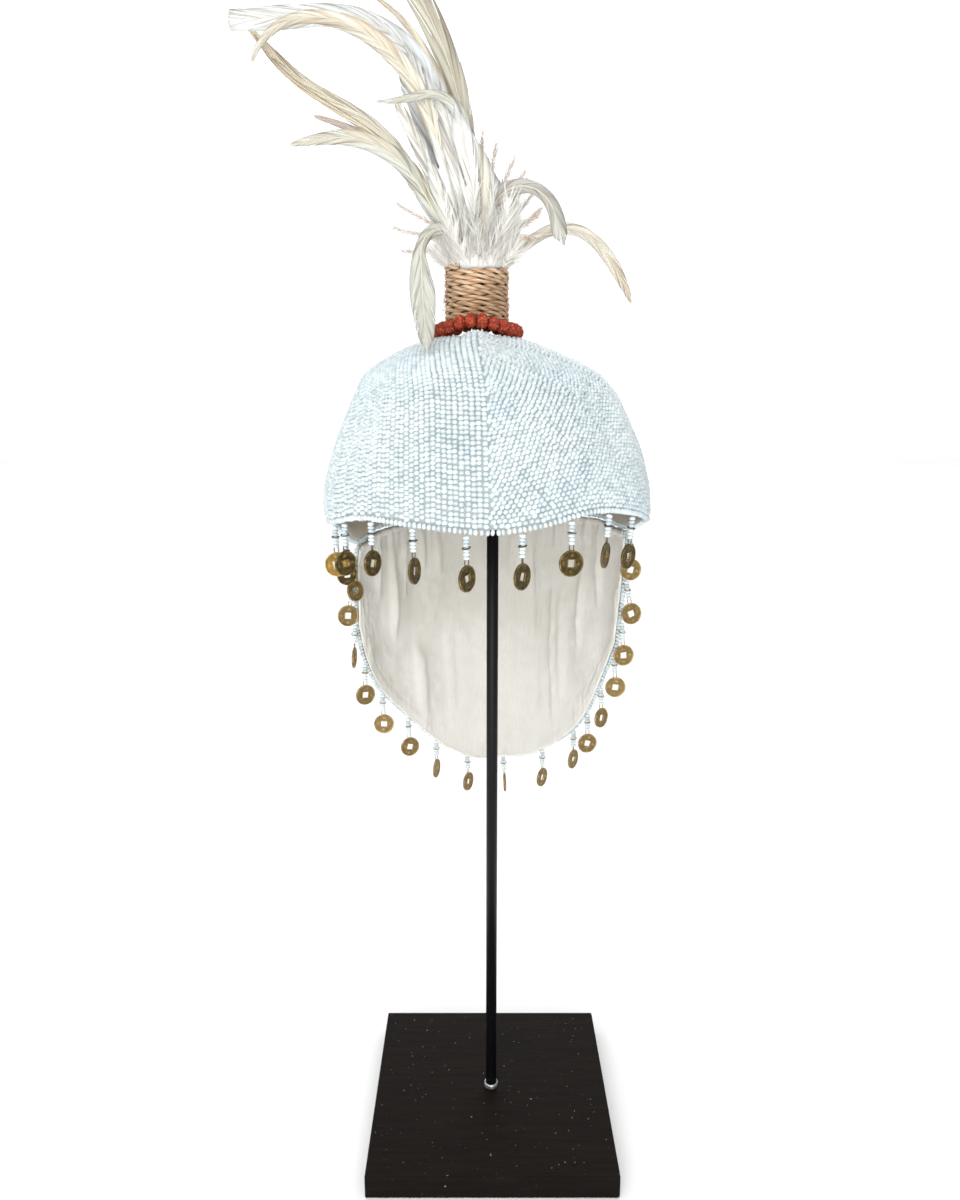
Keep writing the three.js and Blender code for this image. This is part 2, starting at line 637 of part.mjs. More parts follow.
// A point on the flap's faces, which run straight between its rows and columns
function flapFacePoint(across, down, inset) {
  const [left, right, acrossShare] = stopsAround(FLAP_STOPS, across);
  const [upper, lower, downShare] = stopsAround(FLAP_ROWS, down);
  const top = flapPoint(left, upper, inset).lerp(flapPoint(right, upper, inset), acrossShare);
  const bottom = flapPoint(left, lower, inset).lerp(flapPoint(right, lower, inset), acrossShare);
  return top.lerp(bottom, downShare);
}

// Where a drop hangs beside or under the flap's edge
function flapSeat(row) {
  const sides = { left: -1, right: 1 };
  const wall = CROWN_WALL / 2;
  if (row.edge === "round") {
    const here = flapFacePoint(row.at, 1, wall);
    const back = flapFacePoint(row.at - FLAP_STEP, 1, wall);
    const along = flapFacePoint(row.at + FLAP_STEP, 1, wall).sub(back).normalize();
    const level = Math.hypot(along.x, along.y);
    const steep = Math.abs(along.z);
    const away = new THREE.Vector3(along.x, along.y, 0).normalize();
    const below = (STRING_RADIUS * steep * (1 - steep)) / level;
    return here.addScaledVector(away, Math.sign(row.at) * (STRING_RADIUS + GAP) * steep).setZ(here.z - below);
  }
  const across = sides[row.edge];
  const here = flapFacePoint(across, row.at, wall);
  const inner = flapFacePoint(across * (1 - FLAP_STEP), row.at, wall);
  const away = here.clone().sub(inner).setZ(0).normalize();
  return here.addScaledVector(away, STRING_RADIUS + GAP);
}

// Width of a feather along its length. along: share of its length. width: share of its width.
const BLADE_PROFILE = [
  { along: 0.0, width: 0.25 },
  { along: 0.15, width: 0.7 },
  { along: 0.4, width: 1.0 },
  { along: 0.75, width: 0.95 },
  { along: 0.92, width: 0.7 },
  { along: 1.0, width: 0.2 },
];

// One feather as a blade of diamond sections along a bending path
function feather(row) {
  const length = FEATHER_LENGTH * row.length;
  const stepLength = length / FEATHER_STATIONS;
  const leans = row.leanAt.map((lean, step) => ({ at: step / (row.leanAt.length - 1), lean }));
  const startX = STEM_X + (row.start * DOWN_DIAMETER) / 2;
  const point = new THREE.Vector3(startX, STEM_Y, ROPE_TOP + DOWN_HEIGHT * row.rise);
  const points = [];
  for (let station = 0; station <= FEATHER_STATIONS; station++) {
    const along = station / FEATHER_STATIONS;
    const lean = radians(tableValue(leans, "at", "lean", along));
    const heading = new THREE.Vector3(-Math.sin(lean), 0, Math.cos(lean));
    const level = new THREE.Vector3(heading.z, 0, -heading.x);
    const across = level.applyAxisAngle(heading, radians(row.roll));
    const through = heading.clone().cross(across);
    const fullness = tableValue(BLADE_PROFILE, "along", "width", along);
    const tip = along === 1 ? row.blunt : 1;
    const halfWidth = (FEATHER_WIDTH * row.width * fullness * tip) / 2;
    points.push(point.clone().addScaledVector(across, halfWidth));
    points.push(point.clone().addScaledVector(through, FEATHER_THICKNESS / 2));
    points.push(point.clone().addScaledVector(across, -halfWidth));
    points.push(point.clone().addScaledVector(through, -FEATHER_THICKNESS / 2));
    const middleAlong = (station + 0.5) / FEATHER_STATIONS;
    const middleLean = radians(tableValue(leans, "at", "lean", Math.min(middleAlong, 1)));
    const step = new THREE.Vector3(-Math.sin(middleLean), row.back, Math.cos(middleLean));
    point.addScaledVector(step, stepLength);
  }
  const corners = 4;
  const faces = [[3, 2, 1, 0]];
  for (let station = 0; station < FEATHER_STATIONS; station++) {
    for (let corner = 0; corner < corners; corner++) {
      const next = (corner + 1) % corners;
      const low = station * corners;
      faces.push([low + corner, low + next, low + corners + next, low + corners + corner]);
    }
  }
  const end = FEATHER_STATIONS * corners;
  faces.push([end, end + 1, end + 2, end + 3]);
  return meshGeometry(points, faces);
}

// The bundle of quills inside the rope with the head of down above it
function downHead() {
  const radius = DOWN_DIAMETER / 2;
  const low = ROPE_TOP + GAP;
  const profile = [
    [0, crownTopWithin(QUILL_RADIUS) + GAP],
    [QUILL_RADIUS, crownTopWithin(QUILL_RADIUS) + GAP],
    [QUILL_RADIUS, low],
    [ROPE_OUTER, low],
    ...DOWN_PROFILE.map((row) => [radius * row.spread, low + DOWN_HEIGHT * row.rise]),
  ];
  return turned(profile, DOWN_SIDES).translate(STEM_X, STEM_Y, 0);
}

// The hidden disc that carries the crown, just under the lining's faces
const SEAT_STEPS = 10;

function headDiscTop() {
  const inset = CROWN_WALL + GAP + LINING_WALL;
  const rows = [0, ...CROWN_ROWS];
  const heights = [];
  for (let side = 0; side < CROWN_SIDES; side++) {
    const line = rows.map((share) => crownPoint((360 * side) / CROWN_SIDES, share, inset));
    for (let row = 0; row + 1 < rows.length; row++) {
      for (let step = 0; step <= SEAT_STEPS; step++) {
        const point = line[row].clone().lerp(line[row + 1], step / SEAT_STEPS);
        if (Math.hypot(point.x, point.y) <= HEAD_DIAMETER / 2 + LINING_WALL) heights.push(point.z);
      }
    }
  }
  return Math.min(...heights) - GAP;
}

function stand() {
  const group = new THREE.Group();
  const headTop = headDiscTop();
  const rodBottom = BASE_HEIGHT + GAP;
  const rodTop = headTop - HEAD_THICKNESS - GAP;
  const base = new THREE.BoxGeometry(BASE_WIDTH, BASE_WIDTH, BASE_HEIGHT).translate(0, 0, BASE_HEIGHT / 2);
  const rod = uprightCylinder(ROD_DIAMETER, rodTop - rodBottom, ROD_SIDES).translate(0, 0, rodBottom);
  const rodClear = ROD_DIAMETER / 2 + GAP;
  const foot = turned([
    [rodClear, rodBottom],
    [FOOT_DIAMETER / 2, rodBottom],
    [rodClear + GAP, rodBottom + FOOT_HEIGHT],
    [rodClear, rodBottom + FOOT_HEIGHT],
    [rodClear, rodBottom],
  ], ROD_SIDES);
  const head = uprightCylinder(HEAD_DIAMETER, HEAD_THICKNESS, ROD_SIDES);
  head.translate(0, 0, headTop - HEAD_THICKNESS);
  group.add(named("stand_base", base, MATERIALS.board));
  group.add(named("stand_rod", rod, MATERIALS.steel));
  group.add(named("stand_foot", foot, MATERIALS.weld));
  group.add(named("stand_head", head, MATERIALS.steel));
  return group;
}

function hat() {
  const group = new THREE.Group();
  const liningOuter = CROWN_WALL + GAP;
  const liningInner = liningOuter + LINING_WALL;
  group.add(named("crown", capWall(0, CROWN_WALL), MATERIALS.beads));
  group.add(named("crown_lining", capWall(liningOuter, liningInner), MATERIALS.cotton));
  group.add(named("neck_flap", flapWall(0, CROWN_WALL), MATERIALS.beads));
  group.add(named("flap_lining", flapWall(liningOuter, liningInner), MATERIALS.cotton));
  group.add(named("rope_wrap", ropeWrap(), MATERIALS.jute));
  group.add(named("bead_ring", beadRing(), MATERIALS.seeds));
  group.add(named("plume", fused([downHead(), ...FEATHERS.map(feather)]), MATERIALS.feather));
  return group;
}

function drops() {
  const group = new THREE.Group();
  const numbered = (prefix, index) => `${prefix}_${String(index + 1).padStart(2, "0")}`;
  RIM_DROPS.forEach((row, index) => group.add(drop(numbered("rim_drop", index), rimSeat(row.angle), row)));
  FLAP_DROPS.forEach((row, index) => group.add(drop(numbered("flap_drop", index), flapSeat(row), row)));
  return group;
}

const model = new THREE.Group();
model.add(stand(), hat(), drops());

export default model;
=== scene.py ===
"""Looks for a beaded and feathered hat on a display stand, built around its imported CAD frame.

Lengths in the tables and helpers are millimetres; meshes are made in metres. +Z is up, the hat's
front faces -Y and +X is the viewer's right.
"""

import math

import bpy
import numpy as np
from mathutils import Euler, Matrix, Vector, noise


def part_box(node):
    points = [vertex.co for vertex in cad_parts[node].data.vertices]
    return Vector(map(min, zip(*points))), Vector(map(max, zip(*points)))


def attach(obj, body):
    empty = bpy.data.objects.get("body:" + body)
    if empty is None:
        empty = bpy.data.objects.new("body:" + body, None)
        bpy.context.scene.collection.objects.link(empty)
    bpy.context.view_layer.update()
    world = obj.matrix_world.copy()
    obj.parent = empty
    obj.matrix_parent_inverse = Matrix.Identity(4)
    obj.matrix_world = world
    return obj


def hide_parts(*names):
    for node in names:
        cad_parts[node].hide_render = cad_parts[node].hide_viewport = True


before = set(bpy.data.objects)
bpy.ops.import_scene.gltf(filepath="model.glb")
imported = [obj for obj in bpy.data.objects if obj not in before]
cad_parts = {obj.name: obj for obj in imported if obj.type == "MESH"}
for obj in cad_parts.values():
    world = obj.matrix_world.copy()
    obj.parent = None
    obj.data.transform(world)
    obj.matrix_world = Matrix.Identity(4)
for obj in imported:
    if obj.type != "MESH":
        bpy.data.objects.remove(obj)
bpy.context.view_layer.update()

MM = 0.001
BODY = "root"
rng = np.random.default_rng(7)

# Camera at the photograph's viewing angle
CAMERA_PLACE = (-7.3, -543.4, 465.0)
CAMERA_PITCH_DOWN = 12.58
CAMERA_LENS = 28.5
CAMERA_SENSOR = 36.0
CAMERA_CLIP_START = 0.01


def placed(name, data):
    """A new object in the scene"""
    thing = bpy.data.objects.new(name, data)
    bpy.context.scene.collection.objects.link(thing)
    return thing


def add_camera():
    data = bpy.data.cameras.new("camera")
    data.lens = CAMERA_LENS
    data.sensor_width = CAMERA_SENSOR
    data.clip_start = CAMERA_CLIP_START
    camera = placed("camera", data)
    camera.location = [value * MM for value in CAMERA_PLACE]
    camera.rotation_euler = (math.radians(90 - CAMERA_PITCH_DOWN), 0, 0)
    bpy.context.scene.camera = camera


add_camera()

# Hat form, the same named sizes as in the part's source
GAP = 0.3
BASE_WIDTH = 150
BASE_HEIGHT = 15
ROD_DIAMETER = 6.8
RIM_HEIGHT = 391
CROWN_HEIGHT = 104.7
CROWN_HALF_WIDTH = 93.3
CROWN_HALF_DEPTH = 99
CROWN_LEAN = -6.3
RIM_CENTRE_X = -2.8
RIM_CENTRE_Y = 3
CROWN_WALL = 3
CROWN_SIDES = 48
KEEL_LIFT = 3.2
KEEL_HALF_ANGLE = 26
KEEL_FULL_SPREAD = 0.25
DENT_DEPTH = 3
FLAP_LENGTH = 172.5
FLAP_SPREAD = 0.975
FLAP_FOLD_DEPTH = 2.6
FLAP_COLUMNS = 19
FLAP_HALF_ANGLE = FLAP_COLUMNS * 180 / CROWN_SIDES
FLAP_MIDDLE_ANGLE = 180 / CROWN_SIDES
FLAP_BLEND = 0.25
ROPE_DIAMETER = 3
ROPE_TURNS = 11
QUILL_RADIUS = 14.3
RING_BEADS = 23
RING_BEAD_DIAMETER = 8.4
STEM_X = RIM_CENTRE_X + CROWN_LEAN
STEM_Y = RIM_CENTRE_Y
ROPE_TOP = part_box("rope_wrap")[1].z / MM
ROPE_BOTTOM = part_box("rope_wrap")[0].z / MM
ROPE_OUTER = QUILL_RADIUS + GAP + ROPE_DIAMETER

# Crown section: drop, spread, lean
CROWN_PROFILE = [
    (0.0, 0.0, 1.0),
    (0.012, 0.16, 1.0),
    (0.039, 0.28, 1.0),
    (0.076, 0.4, 1.0),
    (0.126, 0.526, 0.86),
    (0.177, 0.631, 0.67),
    (0.226, 0.707, 0.5),
    (0.314, 0.779, 0.25),
    (0.441, 0.849, 0.14),
    (0.595, 0.922, 0.08),
    (0.713, 0.965, 0.03),
    (0.818, 0.994, 0.0),
    (0.924, 1.0, 0.0),
    (0.996, 0.985, 0.0),
    (1.08, 0.967, 0.0),
    (1.25, 0.95, 0.0),
]

# Rim line: angle from the front, rise
RIM_LINE = [
    (-180, -0.105),
    (-127, -0.14),
    (-113, -0.2),
    (-100, -0.11),
    (-88, -0.02),
    (-65, 0.022),
    (-45, 0.082),
    (-24, 0.074),
    (0, 0.046),
    (14, 0.07),
    (35, 0.129),
    (57, 0.084),
    (68, 0.04),
    (88, -0.02),
    (102, -0.09),
    (113, -0.1),
    (126, -0.07),
    (150, -0.085),
    (180, -0.105),
]

# Creases: angle, half angle, drop, half drop, depth
CROWN_DENTS = [
    (-58, 17, 0.45, 0.34, 0.8),
    (50, 17, 0.5, 0.36, 1.0),
    (78, 14, 0.82, 0.22, 0.6),
    (-150, 22, 0.55, 0.35, 0.7),
    (140, 20, 0.5, 0.35, 0.8),
]

# Flap outline: across, turn, fall
FLAP_OUTLINE = [
    (-1, -1, 0.36),
    (-0.9, -0.937, 0.483),
    (-0.75, -0.804, 0.63),
    (-0.55, -0.593, 0.772),
    (-0.3, -0.361, 0.919),
    (-0.12, -0.179, 0.988),
    (0, -0.067, 1.0),
    (0.12, 0.06, 0.99),
    (0.3, 0.228, 0.974),
    (0.45, 0.368, 0.919),
    (0.6, 0.509, 0.846),
    (0.72, 0.614, 0.765),
    (0.84, 0.705, 0.66),
    (0.93, 0.818, 0.515),
    (1, 0.895, 0.424),
]

# Upright folds of the flap: turn, half turn, depth, from, to
FLAP_FOLDS = [
    (-0.68, 0.15, -0.9, 0.0, 0.8),
    (-0.36, 0.17, 0.7, 0.1, 1.1),
    (0.0, 0.16, -0.6, 0.05, 0.9),
    (0.31, 0.15, 1.0, -0.1, 0.9),
    (0.64, 0.15, -0.6, 0.2, 1.1),
]


def smooth_curve(rows, column):
    """A smooth function through a table's first column and another one"""
    places = np.array([row[0] for row in rows], float)
    values = np.array([row[column] for row in rows], float)
    last = len(rows) - 1
    slopes = np.empty(len(rows))
    slopes[0] = (values[1] - values[0]) / (places[1] - places[0])
    slopes[last] = (values[last] - values[last - 1]) / (places[last] - places[last - 1])
    slopes[1:last] = (values[2:] - values[:-2]) / (places[2:] - places[:-2])

    def value(at):
        at = np.clip(at, places[0], places[last])
        low = np.clip(np.searchsorted(places, at, side="right") - 1, 0, last - 1)
        span = places[low + 1] - places[low]
        t = (at - places[low]) / span
        start = values[low] * (1 + 2 * t) * (1 - t) ** 2
        end = values[low + 1] * t * t * (3 - 2 * t)
        pull = t * (1 - t) ** 2 * span * slopes[low] + t * t * (t - 1) * span * slopes[low + 1]
        return start + end + pull

    return value


def together(*values):
    """The values as arrays of one shape"""
    return np.broadcast_arrays(*(np.asarray(value, float) for value in values))


def bump(distance, half_width):
    t = np.minimum(np.abs(distance) / half_width, 1)
    return (1 - t * t) ** 2


def wrapped(angle):
    return np.mod(np.asarray(angle, float) + 180, 360) - 180


crown_spread = smooth_curve(CROWN_PROFILE, 1)
crown_lean = smooth_curve(CROWN_PROFILE, 2)
rim_rise = smooth_curve(RIM_LINE, 1)
outline_turn = smooth_curve(FLAP_OUTLINE, 1)
outline_fall = smooth_curve(FLAP_OUTLINE, 2)
FLAP_TOP = RIM_HEIGHT + CROWN_HEIGHT * rim_rise(180)


def crown_surface(angle, share):
    angle, share = together(angle, share)
    drop = share * (1 - rim_rise(wrapped(angle)))
    spread = crown_spread(drop)
    off_seam = np.minimum(np.abs(wrapped(angle)), 180 - np.abs(wrapped(angle)))
    keel = KEEL_LIFT * bump(off_seam, KEEL_HALF_ANGLE)
    keel = keel * np.minimum(spread / KEEL_FULL_SPREAD, 1) * (1 - share)
    inward = 0
    for at, half_angle, middle, half_drop, depth in CROWN_DENTS:
        across = bump(wrapped(angle - at), half_angle)
        inward = inward + DENT_DEPTH * depth * across * bump(share - middle, half_drop)
    turn = np.radians(angle)
    middle_x = RIM_CENTRE_X + CROWN_LEAN * crown_lean(drop)
    x = middle_x + (CROWN_HALF_WIDTH * spread - inward) * np.sin(turn)
    y = RIM_CENTRE_Y - (CROWN_HALF_DEPTH * spread - inward) * np.cos(turn)
    return np.stack([x, y, RIM_HEIGHT + CROWN_HEIGHT * (1 - drop) + keel], axis=-1)


def unit(vectors):
    return vectors / np.maximum(np.linalg.norm(vectors, axis=-1, keepdims=True), 1e-9)


def run_along(path):
    """Length from a path's start to each of its points"""
    return np.concatenate([[0], np.cumsum(np.linalg.norm(np.diff(path, axis=0), axis=1))])


# Steps to each side over which a surface's direction is taken: degrees, and a share
NORMAL_ANGLE = 1.5
NORMAL_SHARE = 0.01


def surface_normal(surface, u, v, step_u, step_v):
    along_u = surface(u + step_u, v) - surface(u - step_u, v)
    along_v = surface(u, v + step_v) - surface(u, v - step_v)
    return unit(np.cross(along_v, along_u))


def crown_point(angle, share, inset):
    angle, share, inset = together(angle, share, inset)
    outwards = surface_normal(crown_surface, angle, share, NORMAL_ANGLE, NORMAL_SHARE)
    return crown_surface(angle, share) - outwards * inset[..., None]


def rim_angle(turn):
    return 180 - FLAP_MIDDLE_ANGLE - turn * FLAP_HALF_ANGLE


def flap_turn(across, down):
    return across + (outline_turn(across) - across) * down


def flap_surface(across, down):
    across, down = together(across, down)
    turn = flap_turn(across, down)
    rim = crown_surface(rim_angle(turn), 1)
    outward = 0
    for at, half_turn, depth, start, end in FLAP_FOLDS:
        along = bump(down - (start + end) / 2, (end - start) / 2)
        outward = outward + FLAP_FOLD_DEPTH * depth * along * bump(turn - at, half_turn)
    hang = np.clip(down / FLAP_BLEND, 0, 1)
    angle = np.radians(180 - rim_angle(turn))
    hang_x = RIM_CENTRE_X + (CROWN_HALF_WIDTH * FLAP_SPREAD + outward) * np.sin(angle)
    hang_y = RIM_CENTRE_Y + (CROWN_HALF_DEPTH * FLAP_SPREAD + outward) * np.cos(angle)
    top = crown_surface(rim_angle(across), 1)[..., 2] - GAP
    lowest = FLAP_TOP - FLAP_LENGTH * outline_fall(across)
    x = rim[..., 0] + (hang_x - rim[..., 0]) * hang
    y = rim[..., 1] + (hang_y - rim[..., 1]) * hang
    return np.stack([x, y, top + (lowest - top) * down], axis=-1)


def flap_point(across, down, inset):
    across, down, inset = together(across, down, inset)
    inwards = surface_normal(flap_surface, across, down, NORMAL_SHARE, NORMAL_SHARE)
    return flap_surface(across, down) + inwards * inset[..., None]


# Node materials
def linear(color):
    """The linear value of a colour given as sRGB from 0 to 255"""
    shares = [value / 255 for value in color]
    return tuple(((c + 0.055) / 1.055) ** 2.4 if c > 0.04045 else c / 12.92 for c in shares) + (1.0,)


class Look:
    """A material with a few short helpers for its nodes"""

    def __init__(self, name, roughness=0.8, metallic=0.0, sheen=0.0, coat=0.0):
        self.material = bpy.data.materials.new(name)
        self.material.use_nodes = True
        self.tree = self.material.node_tree
        self.shader = self.tree.nodes["Principled BSDF"]
        self.shader.inputs["Roughness"].default_value = roughness
        self.shader.inputs["Metallic"].default_value = metallic
        self.shader.inputs["Sheen Weight"].default_value = sheen
        self.shader.inputs["Coat Weight"].default_value = coat

    def node(self, kind, inputs=None, **values):
        made = self.tree.nodes.new(kind)
        for key, value in values.items():
            setattr(made, key, value)
        for key, value in (inputs or {}).items():
            made.inputs[key].default_value = value
        return made

    def link(self, source, target):
        self.tree.links.new(source, target)

    def feed(self, value, socket):
        """value: another node's socket, or a plain value"""
        if isinstance(value, bpy.types.NodeSocket):
            self.link(value, socket)
        else:
            socket.default_value = value

    def place(self, scale=(1, 1, 1), source="Object", turn=(0, 0, 0)):
        coordinates = self.node("ShaderNodeTexCoord")
        mapping = self.node("ShaderNodeMapping", {"Scale": scale, "Rotation": turn})
        self.link(coordinates.outputs[source], mapping.inputs["Vector"])
        return mapping.outputs["Vector"]

    def noise(self, scale, detail=4, rough=0.5, vector=None):
        made = self.node("ShaderNodeTexNoise", {"Scale": scale, "Detail": detail, "Roughness": rough})
        self.link(vector or self.place(), made.inputs["Vector"])
        return made.outputs["Fac"]

    def ramp(self, factor, stops):
        """stops: place and sRGB colour, in order"""
        made = self.node("ShaderNodeValToRGB")
        elements = made.color_ramp.elements
        while len(elements) < len(stops):
            elements.new(0.5)
        for element, (place, color) in zip(elements, stops):
            element.position = place
            element.color = linear(color)
        self.link(factor, made.inputs["Fac"])
        return made.outputs["Color"]

    def mix(self, factor, first, second, kind="MIX"):
        made = self.node("ShaderNodeMix", data_type="RGBA", blend_type=kind)
        for value, index in ((factor, 0), (first, 6), (second, 7)):
            self.feed(value, made.inputs[index])
        return made.outputs[2]

    def math(self, kind, first, second):
        made = self.node("ShaderNodeMath", operation=kind)
        self.feed(first, made.inputs[0])
        self.feed(second, made.inputs[1])
        return made.outputs[0]

    def color(self, socket):
        self.link(socket, self.shader.inputs["Base Color"])

    def rough(self, factor, low, high):
        made = self.node("ShaderNodeMapRange", {"To Min": low, "To Max": high})
        self.link(factor, made.inputs["Value"])
        self.link(made.outputs["Result"], self.shader.inputs["Roughness"])

    def relief(self, height, distance):
        made = self.node("ShaderNodeBump", {"Distance": distance, "Strength": 1.0})
        self.link(height, made.inputs["Height"])
        self.link(made.outputs["Normal"], self.shader.inputs["Normal"])

    def per_island(self):
        return self.node("ShaderNodeNewGeometry").outputs["Random Per Island"]

    def attribute(self, name):
        return self.node("ShaderNodeAttribute", attribute_name=name).outputs["Color"]


def glass_beads():
    look = Look("bead_glass", roughness=0.18, coat=0.3)
    look.shader.inputs["Coat Roughness"].default_value = 0.08
    look.shader.inputs["IOR"].default_value = 1.52
    whites = [(0.0, (190, 201, 205)), (0.35, (208, 218, 220)), (1.0, (223, 231, 232))]
    tone = look.ramp(look.per_island(), whites)
    patches = look.ramp(look.noise(22, 2), [(0.3, (240, 245, 248)), (0.7, (255, 255, 255))])
    look.color(look.mix(1.0, tone, patches, "MULTIPLY"))
    return look.material


def woven(name, dark, light, thread=1700):
    """Plain weave: crossed threads, slubs, and a soft mottle"""
    look = Look(name, roughness=0.95, sheen=0.15)
    height = None
    for turn in (0.0, math.pi / 2):
        inputs = {"Scale": thread, "Distortion": 1.2, "Detail": 1}
        wave = look.node("ShaderNodeTexWave", inputs, wave_type="BANDS", bands_direction="X")
        look.link(look.place(source="UV", turn=(0, 0, turn)), wave.inputs["Vector"])
        threads = wave.outputs["Fac"]
        height = threads if height is None else look.math("MULTIPLY", height, threads)
    slubs = look.noise(900, 3, 0.6, look.place((1, 1, 0.15)))
    tone = look.ramp(look.noise(18, 5, 0.55), [(0.3, dark), (0.62, light)])
    uneven = look.ramp(slubs, [(0.3, (232, 228, 220)), (0.6, (255, 255, 255))])
    color = look.mix(0.3, tone, uneven, "MULTIPLY")
    grain = look.ramp(height, [(0.0, (222, 218, 210)), (0.5, (255, 255, 255))])
    look.color(look.mix(0.5, color, grain, "MULTIPLY"))
    look.rough(slubs, 0.88, 1.0)
    look.relief(look.math("ADD", height, slubs), 0.00012)
    return look.material


def jute():
    look = Look("jute_cord", roughness=0.95, sheen=0.1)
    fibres = look.noise(1.0, 4, 0.6, look.place((14, 15, 1), "UV"))
    broad = look.noise(60, 3)
    tone = look.ramp(fibres, [(0.3, (128, 98, 72)), (0.5, (216, 182, 146)), (0.7, (252, 236, 208))])
    shade = look.ramp(broad, [(0.3, (200, 188, 172)), (0.65, (255, 255, 255))])
    # Painted shade: the cord's colour darkens in the valleys between its plies
    valley_shade_stops = [(0.0, (92, 64, 44)), (0.4, (216, 200, 184)), (0.75, (255, 255, 255))]
    painted_valley_shade = look.ramp(look.attribute("crevice"), valley_shade_stops)
    look.color(look.mix(1.0, look.mix(0.8, tone, shade, "MULTIPLY"), painted_valley_shade, "MULTIPLY"))
    look.relief(fibres, 0.00035)
    return look.material


def seed_husk():
    look = Look("seed_husk", roughness=0.72)
    hollow = look.attribute("crevice")
    fine = look.noise(1500, 3)
    depth = look.math("MULTIPLY", look.math("ADD", hollow, look.math("MULTIPLY", fine, 0.5)), 0.8)
    # Painted shade and highlight: near black deep in the crevices, light tan on the knobs' tops
    reds_with_painted_shade_and_highlight = [(0.22, (52, 12, 7)), (0.55, (138, 44, 23)), (0.82, (196, 78, 38)), (1.0, (232, 128, 74))]
    look.color(look.ramp(depth, reds_with_painted_shade_and_highlight))
    look.relief(fine, 0.00025)
    return look.material


def feather_vane():
    """The fine lines run along the barbs: U crosses them, V follows them"""
    look = Look("feather_vane", roughness=0.6, sheen=0.15)
    tint = look.attribute("tint")
    barbs = look.noise(1.0, 3, 0.65, look.place((620, 26, 1), "UV"))
    lines = look.ramp(barbs, [(0.36, (142, 134, 120)), (0.47, (222, 219, 211)), (0.58, (255, 255, 255))])
    look.color(look.mix(0.75, tint, lines, "MULTIPLY"))
    look.relief(barbs, 0.00025)
    return look.material


def aged_brass(name, dark, middle, light):
    look = Look(name, roughness=0.42, metallic=0.75)
    stain = look.noise(420, 5, 0.62)
    low = look.attribute("crevice")
    tone = look.ramp(stain, [(0.32, dark), (0.52, middle), (0.72, light)])
    look.color(look.mix(low, linear(dark), tone))
    look.rough(stain, 0.3, 0.62)
    look.relief(look.noise(1400, 4, 0.6), 0.00012)
    return look.material


def wire_metal(name, dark, light):
    look = Look(name, roughness=0.38, metallic=0.8)
    look.color(look.ramp(look.noise(900, 3), [(0.35, dark), (0.65, light)]))
    return look.material


def black_steel():
    look = Look("black_steel", roughness=0.4)
    look.shader.inputs["Specular IOR Level"].default_value = 0.16
    speckle = look.noise(900, 3)
    look.color(look.ramp(speckle, [(0.3, (9, 9, 11)), (0.75, (18, 18, 21))]))
    look.rough(look.noise(160, 4), 0.3, 0.5)
    look.relief(speckle, 0.00004)
    return look.material


def weld_metal():
    look = Look("weld_metal", roughness=0.3, metallic=0.85)
    look.color(look.ramp(look.noise(500, 4), [(0.3, (120, 122, 124)), (0.7, (216, 218, 220))]))
    look.relief(look.noise(600, 3), 0.0003)
    return look.material


def painted_board():
    look = Look("painted_board", roughness=0.62)
    look.shader.inputs["Specular IOR Level"].default_value = 0.08
    grain = look.noise(26, 6, 0.62, look.place((1, 12, 12)))
    fine = look.noise(240, 4, 0.6, look.place((1, 8, 8)))
    tone = look.ramp(grain, [(0.3, (12, 7, 4)), (0.5, (17, 11, 7)), (0.72, (24, 17, 12))])
    specks = look.ramp(look.noise(520, 2, 0.4), [(0.735, (0, 0, 0)), (0.76, (150, 146, 140))])
    look.color(look.mix(0.7, tone, specks, "ADD"))
    look.rough(fine, 0.5, 0.75)
    look.relief(look.math("ADD", grain, fine), 0.00025)
    return look.material


BEAD = glass_beads()
COTTON = woven("cotton_lining", (230, 229, 221), (243, 242, 237))
# The crown's lining is the flap's cotton painted darker: painted shade inside the crown
SHADED_COTTON = woven("cotton_crown_lining_painted_shade", (170, 160, 146), (196, 187, 172))
# The cloth between the beads is coloured as the beads' bluish white in painted shade
BACKING = woven("bead_backing_painted_shade", (188, 196, 198), (208, 215, 217))
JUTE = jute()
HUSK = seed_husk()
VANE = feather_vane()
OLD_COIN = aged_brass("coin_dark", (58, 46, 22), (124, 106, 58), (206, 184, 118))
GOLD_COIN = aged_brass("coin_gold", (120, 92, 40), (190, 156, 84), (226, 198, 130))
TAN_COIN = aged_brass("coin_tan", (112, 92, 54), (176, 152, 104), (222, 200, 152))
DARK_WIRE = wire_metal("wire_dark", (46, 40, 34), (120, 108, 92))
TAN_WIRE = wire_metal("wire_tan", (120, 96, 60), (190, 162, 116))


# Meshes
def add_piece(name, points, faces, materials, slot, uvs=None, face_material=None, tints=None, values=None):
    """A smooth mesh piece that rides on the body. tints and values: one per point."""
    mesh = bpy.data.meshes.new(name)
    mesh.from_pydata((np.asarray(points) * MM).tolist(), [], [tuple(face) for face in faces])
    for material in materials if isinstance(materials, list) else [materials]:
        mesh.materials.append(material)
    mesh.polygons.foreach_set("use_smooth", [True] * len(mesh.polygons))
    if face_material is not None:
        mesh.polygons.foreach_set("material_index", face_material)
    if uvs is not None:
        layer = mesh.uv_layers.new(name="cloth")
        corners = np.empty(len(mesh.loops), int)
        mesh.loops.foreach_get("vertex_index", corners)
        layer.data.foreach_set("uv", np.asarray(uvs, np.float32)[corners].ravel())
    if tints is not None:
        layer = mesh.color_attributes.new("tint", "FLOAT_COLOR", "POINT")
        layer.data.foreach_set("color", np.asarray(tints, np.float32).ravel())
    if values is not None:
        layer = mesh.color_attributes.new("crevice", "FLOAT_COLOR", "POINT")
        grey = np.repeat(np.asarray(values, np.float32)[:, None], 4, axis=1)
        layer.data.foreach_set("color", grey.ravel())
    mesh.update()
    piece = placed(name, mesh)
    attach(piece, BODY)
    return piece


